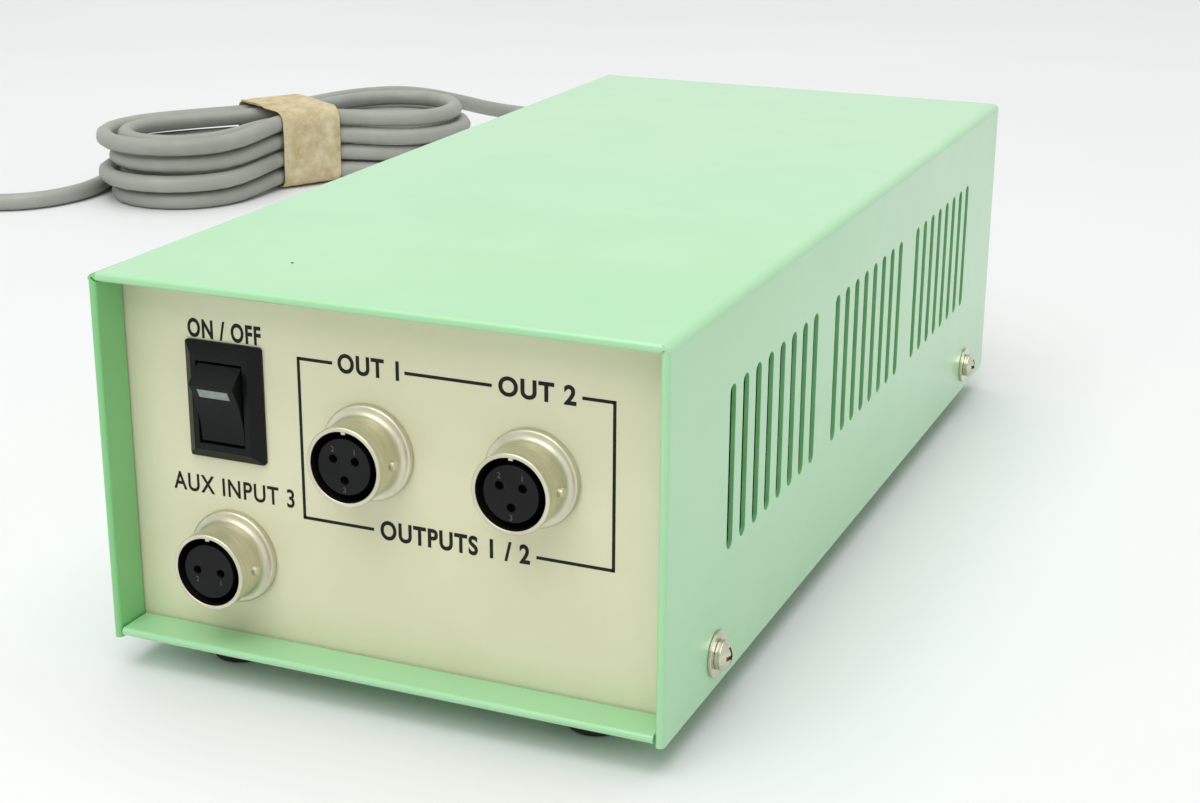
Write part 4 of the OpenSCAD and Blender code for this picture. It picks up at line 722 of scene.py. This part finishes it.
# Black anodised extrusion: satin, with drawing lines along its length
blackAnodised, tree, bsdf, coords = surface("blackAnodised", {"Metallic": 0.85},
                                            ("26272a", "303135"), 6, (0.38, 0.5), 0.3, 0.015, (6, 6, 1))

# Green polyamide of the terminal block
blockPolyamide, tree, bsdf, coords = surface("greenPolyamide", {"IOR": 1.53},
                                             ("1f6b46", "1a5f3d"), 7, (0.35, 0.48), 0.5, 0.02)

# Tinned copper leads: bright, a little uneven
tinnedWire, tree, bsdf, coords = surface("tinnedWire", {"Metallic": 1.0},
                                         ("d3d3cf", "bdbdb8"), 2, (0.2, 0.36), 0.3, 0.02)

# Dipped resistor bodies with colour rings round them
resistorBody, tree, bsdf, coords = surface("dippedResistor", {"IOR": 1.5},
                                           ("c9ad7c", "bd9f6c"), 3, (0.35, 0.45), 0.3, 0.02)
resistorRings = [(-43.6, "5b3a1e"), (-42.2, "1a1a1a"), (-40.8, "a33024"), (-38.6, "b08d3a")]  # place along Y, colour
for place, tone in resistorRings:
    offset = addNode(tree, "ShaderNodeMath", {"operation": "SUBTRACT", 1: place * mm}, {0: along(tree, coords, 1)})
    size = addNode(tree, "ShaderNodeMath", {"operation": "ABSOLUTE"}, {0: offset.outputs[0]})
    ringMask = addNode(tree, "ShaderNodeMath", {"operation": "LESS_THAN", 1: 0.35 * mm}, {0: size.outputs[0]})
    mixInto(tree, bsdf, ringMask.outputs[0], tone)

dress("circuit_board", "printedBoard", boardResist, edgeMm=0.1, segments=1)
dress("board_standoffs", "brassStandoffs", dullBrass, edgeMm=0.2)
dress("board_screws", "boardScrews", zincPlate, edgeMm=0.12, segments=2)

canSettings = {"top": 16.85, "cans": [(-24, -21, 9, 32), (-24, -42, 8, 26), (-8.5, -9, 5, 12)]}


def capacitorCan(r, h, x, y, z):
    # crimped sleeve rolled over the rim, the scored aluminium end inside it
    bm = bmesh.new()
    profile = [(0, 0), (r - 0.4, 0)] + arc((r - 0.4, 0.4), 0.4, -90, 0, 3) + [(r, 2.2), (r - 0.15, 2.6)]
    profile += arc((r + 0.1, 3.3), 0.6, -130, -230, 6) + [(r - 0.15, 4.0), (r, 4.4), (r, h - 0.9)]
    profile += arc((r - 0.8, h - 0.8), 0.8, 0, 90, 5) + [(r - 1.2, h - 0.1), (r - 1.4, h - 0.35), (0, h - 0.35)]
    ring(bm, profile, (x, y, z), (0, 0, 1), 64)
    for face in bm.faces:
        middle = face.calc_center_median() / mm
        face.material_index = int(middle.z > z + h - 0.5 and math.hypot(middle.x - x, middle.y - y) < r - 1.3)
    for a in (0, 60, 120):  # score lines of the vent
        score = block(bm, (-r + 2, -0.15, -0.04), (r - 2, 0.15, 0.04))
        bmesh.ops.rotate(bm, verts=score, cent=(0, 0, 0), matrix=Matrix.Rotation(math.radians(a), 3, "Z"))
        bmesh.ops.translate(bm, verts=score, vec=Vector((x, y, z + h - 0.34)) * mm)
        for face in {f for v in score for f in v.link_faces}:
            face.material_index = 1
    return bm


def canStripe(r, h, x, y, z):
    # pale polarity stripe with its row of minus signs, printed on the sleeve
    bm = bmesh.new()
    ring(bm, [(r + 0.03, 5), (r + 0.03, h - 1.2)], (x, y, z), (0, 0, 1), 8, start=-100, sweep=34)
    return bm


for i, (x, y, r, h) in enumerate(canSettings["cans"], 1):
    name = "capacitorCan" + str(i)
    can = addObject(name, meshFrom(capacitorCan(r, h, x, y, canSettings["top"]), name), [canSleeve, canTop])
    addObject("canStripe" + str(i), meshFrom(canStripe(r, h, x, y, canSettings["top"]), "canStripe" + str(i)), stripeInk)
    if i == 1:
        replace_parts(can, "filter_capacitors")
dress("relay", "relayBox", relayCover, edgeMm=0.35)
dress("heatsink", "finnedHeatsink", blackAnodised, edgeMm=0.2)
dress("power_transistor", "powerTransistor", blackPhenolic, edgeMm=0.2)
dress("terminal_block", "terminalBlock", blockPolyamide, edgeMm=0.25)

resistorSettings = {"places": [2, 7.2, 12.4, 17.6, 22.8], "y": -41.0, "z": 16.85 + 1.9, "profile": [
    (0, -4.5), (0.35, -4.5), (0.75, -4.35), (1.25, -4.0), (1.5, -3.4), (1.5, -2.5), (1.36, -1.9), (1.36, 1.9), (1.5, 2.5), (1.5, 3.4),
    (1.25, 4.0), (0.75, 4.35), (0.35, 4.5), (0, 4.5)]}


def resistorRow(c):
    # dumb-bell bodies with rounded shoulders, on bent leads
    bm = bmesh.new()
    for x in c["places"]:
        ring(bm, c["profile"], (x, c["y"], c["z"]), (0, 1, 0), 32)
    for face in bm.faces:
        face.material_index = 0
    bodyFaces = len(bm.faces)
    for x in c["places"]:
        for s in (-1, 1):
            bend = [(x, c["y"] + s * 4.3, c["z"]), (x, c["y"] + s * 4.9, c["z"]), (x, c["y"] + s * 5.2, c["z"] - 0.12),
                    (x, c["y"] + s * 5.35, c["z"] - 0.4), (x, c["y"] + s * 5.35, 16.85)]
            sweepWire(bm, bend, 0.3)
    bm.faces.ensure_lookup_table()
    for face in bm.faces[bodyFaces:]:
        face.material_index = 1
    return bm


resistorMesh = meshFrom(resistorRow(resistorSettings), "dippedResistors")
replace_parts(addObject("dippedResistors", resistorMesh, [resistorBody, tinnedWire]), "resistors")
print("board dressed")


# ---- plug ----

plugSettings = {
    "start": (-348.0, 168.0, 7.6), "points": 56, "relief": [(0.0, 3.8), (11.4, 5.15)], "grooves": 4,
    "body": [(11.6, 5.2, 5.2, 5.1), (12.1, 5.4, 6.0, 4.6), (12.8, 6.0, 6.9, 4.4), (14.0, 6.7, 7.35, 4.2), (16.5, 8.0, 7.5, 4.0),
             (19.5, 9.7, 7.5, 4.0), (22.5, 11.2, 7.5, 4.0), (25.0, 11.85, 7.5, 4.0), (27.0, 12.0, 7.5, 4.0), (28.0, 12.0, 7.5, 4.0),
             (28.4, 11.5, 7.5, 3.8), (29.4, 11.5, 7.5, 3.8), (29.8, 12.0, 7.5, 4.0), (31.0, 12.0, 7.5, 4.0), (31.4, 11.5, 7.5, 3.8),
             (32.4, 11.5, 7.5, 3.8), (32.8, 12.0, 7.5, 4.0), (34.0, 12.0, 7.5, 4.0), (34.4, 11.5, 7.5, 3.8), (35.4, 11.5, 7.5, 3.8),
             (35.8, 12.0, 7.5, 4.0), (37.0, 12.0, 7.5, 4.0), (37.4, 11.5, 7.5, 3.8), (38.4, 11.5, 7.5, 3.8), (38.8, 12.0, 7.5, 4.0),
             (44.6, 12.0, 7.5, 4.0), (45.4, 11.8, 7.3, 3.9), (45.85, 11.4, 6.9, 3.6), (46.0, 10.9, 6.4, 3.2)],
}


def roundedSection(half, high, corner, count):
    # points of a rounded rectangle, the same number in each quarter
    corner = min(corner, half, high)
    points = []
    for quarter, (sy, sz) in enumerate([(1, 1), (-1, 1), (-1, -1), (1, -1)]):
        for k in range(count // 4):
            a = math.radians(90 * quarter + 90 * k / (count // 4 - 1))
            points.append((sy * (half - corner) + corner * math.cos(a), sz * (high - corner) + corner * math.sin(a)))
    return points


def mouldedPlug(c):
    # flex relief with rings, then a waisted body with finger grips
    bm = bmesh.new()
    sections = []
    (d0, r0), (d1, r1) = c["relief"]
    pitch = (d1 - d0) / c["grooves"]
    for k in range(c["grooves"]):
        for step, sink in [(0.0, 0.0), (0.45, 0.0), (0.52, 0.75), (0.88, 0.75), (0.95, 0.0)]:
            d = d0 + pitch * (k + step)
            r = r0 + (r1 - r0) * (d - d0) / (d1 - d0) - sink
            sections.append((d, r, r, r))
    for d, half, high, corner in sections + c["body"]:
        row = [bm.verts.new(Vector((c["start"][0] - d, c["start"][1] + y, c["start"][2] + z)) * mm)
               for y, z in roundedSection(half, high, corner, c["points"])]
        if d > 0:
            for k in range(c["points"]):
                bm.faces.new((last[k], last[(k + 1) % c["points"]], row[(k + 1) % c["points"]], row[k]))
        else:
            bm.faces.new(row)
        last = row
    bm.faces.new(last)
    bmesh.ops.remove_doubles(bm, verts=bm.verts, dist=0.0005 * mm)
    return bm


plugObj = addObject("mouldedPlug", meshFrom(mouldedPlug(plugSettings), "mouldedPlug", 34), pvcJacket)
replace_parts(plugObj, "plug_body")
bladesObj = dress("plug_blades", "plugBlades", dullBrass, edgeMm=0.25)
print("plug dressed")


# ---- stage ----

stageSettings = {"floor": ("eeedee", "e9e9ea"), "fade": (0.75, 1.9), "backdrop": "eaf0ec", "sky": "e9eeea",
                 "skyPower": 0.62,
                 "lamps": [("overheadSoftbox", (0.0, 0.0, 2.3), 2.4, 27.0, (0, 0.0, 0.03)),
                           ("frontSoftbox", (0.0, -1.25, 1.65), 1.4, 16.5, (0, -0.1, 0.03))]}
bm = bmesh.new()
bmesh.ops.create_grid(bm, x_segments=1, y_segments=1, size=6.0)
floorMesh = bpy.data.meshes.new("floor")
bm.to_mesh(floorMesh)
bm.free()
floor = bpy.data.objects.new("floor", floorMesh)
bpy.context.scene.collection.objects.link(floor)
# White paper sweep under the object, matt
floorPaper, tree, bsdf, coords = surface("floorPaper", {"IOR": 1.45},
                                         stageSettings["floor"], 300, (0.6, 0.7), 2.0, 0.01)
floorMesh.materials.append(floorPaper)
# far from the object the paper fades into the backdrop, for the camera alone
away = addNode(tree, "ShaderNodeVectorMath", {"operation": "LENGTH"}, {0: coords}).outputs["Value"]
fade = addNode(tree, "ShaderNodeMapRange", {"interpolation_type": "SMOOTHSTEP", "From Min": stageSettings["fade"][0],
                                              "From Max": stageSettings["fade"][1]}, {"Value": away})
eye = addNode(tree, "ShaderNodeMath", {"operation": "MULTIPLY"},
              {0: fade.outputs[0], 1: addNode(tree, "ShaderNodeLightPath").outputs["Is Camera Ray"]})
glow = addNode(tree, "ShaderNodeEmission", {"Color": linear(stageSettings["backdrop"]), "Strength": 1.0})
blend = addNode(tree, "ShaderNodeMixShader", links={0: eye.outputs[0], 1: bsdf.outputs[0], 2: glow.outputs[0]})
tree.links.new(blend.outputs[0], tree.nodes["Material Output"].inputs["Surface"])

world = bpy.data.worlds.new("studio")
world.use_nodes = True
bpy.context.scene.world = world
tree = world.node_tree
sky = tree.nodes["Background"]
sky.inputs["Color"].default_value = linear(stageSettings["sky"])
sky.inputs["Strength"].default_value = stageSettings["skyPower"]
backdrop = addNode(tree, "ShaderNodeBackground", {"Color": linear(stageSettings["backdrop"]), "Strength": 1.0})
rays = addNode(tree, "ShaderNodeLightPath")
seen = addNode(tree, "ShaderNodeMath", {"operation": "MAXIMUM"},
               {0: rays.outputs["Is Camera Ray"], 1: rays.outputs["Is Glossy Ray"]})
pick = addNode(tree, "ShaderNodeMixShader", links={0: seen.outputs[0], 1: sky.outputs[0], 2: backdrop.outputs[0]})
tree.links.new(pick.outputs[0], tree.nodes["World Output"].inputs["Surface"])

for name, place, size, power, aim in stageSettings["lamps"]:
    lightData = bpy.data.lights.new(name, "AREA")
    lightData.size, lightData.energy = size, power
    light = bpy.data.objects.new(name, lightData)
    light.location = place
    light.rotation_euler = (Vector(aim) - Vector(place)).to_track_quat("-Z", "Y").to_euler()
    bpy.context.scene.collection.objects.link(light)

bpy.context.scene.view_settings.view_transform = "Standard"
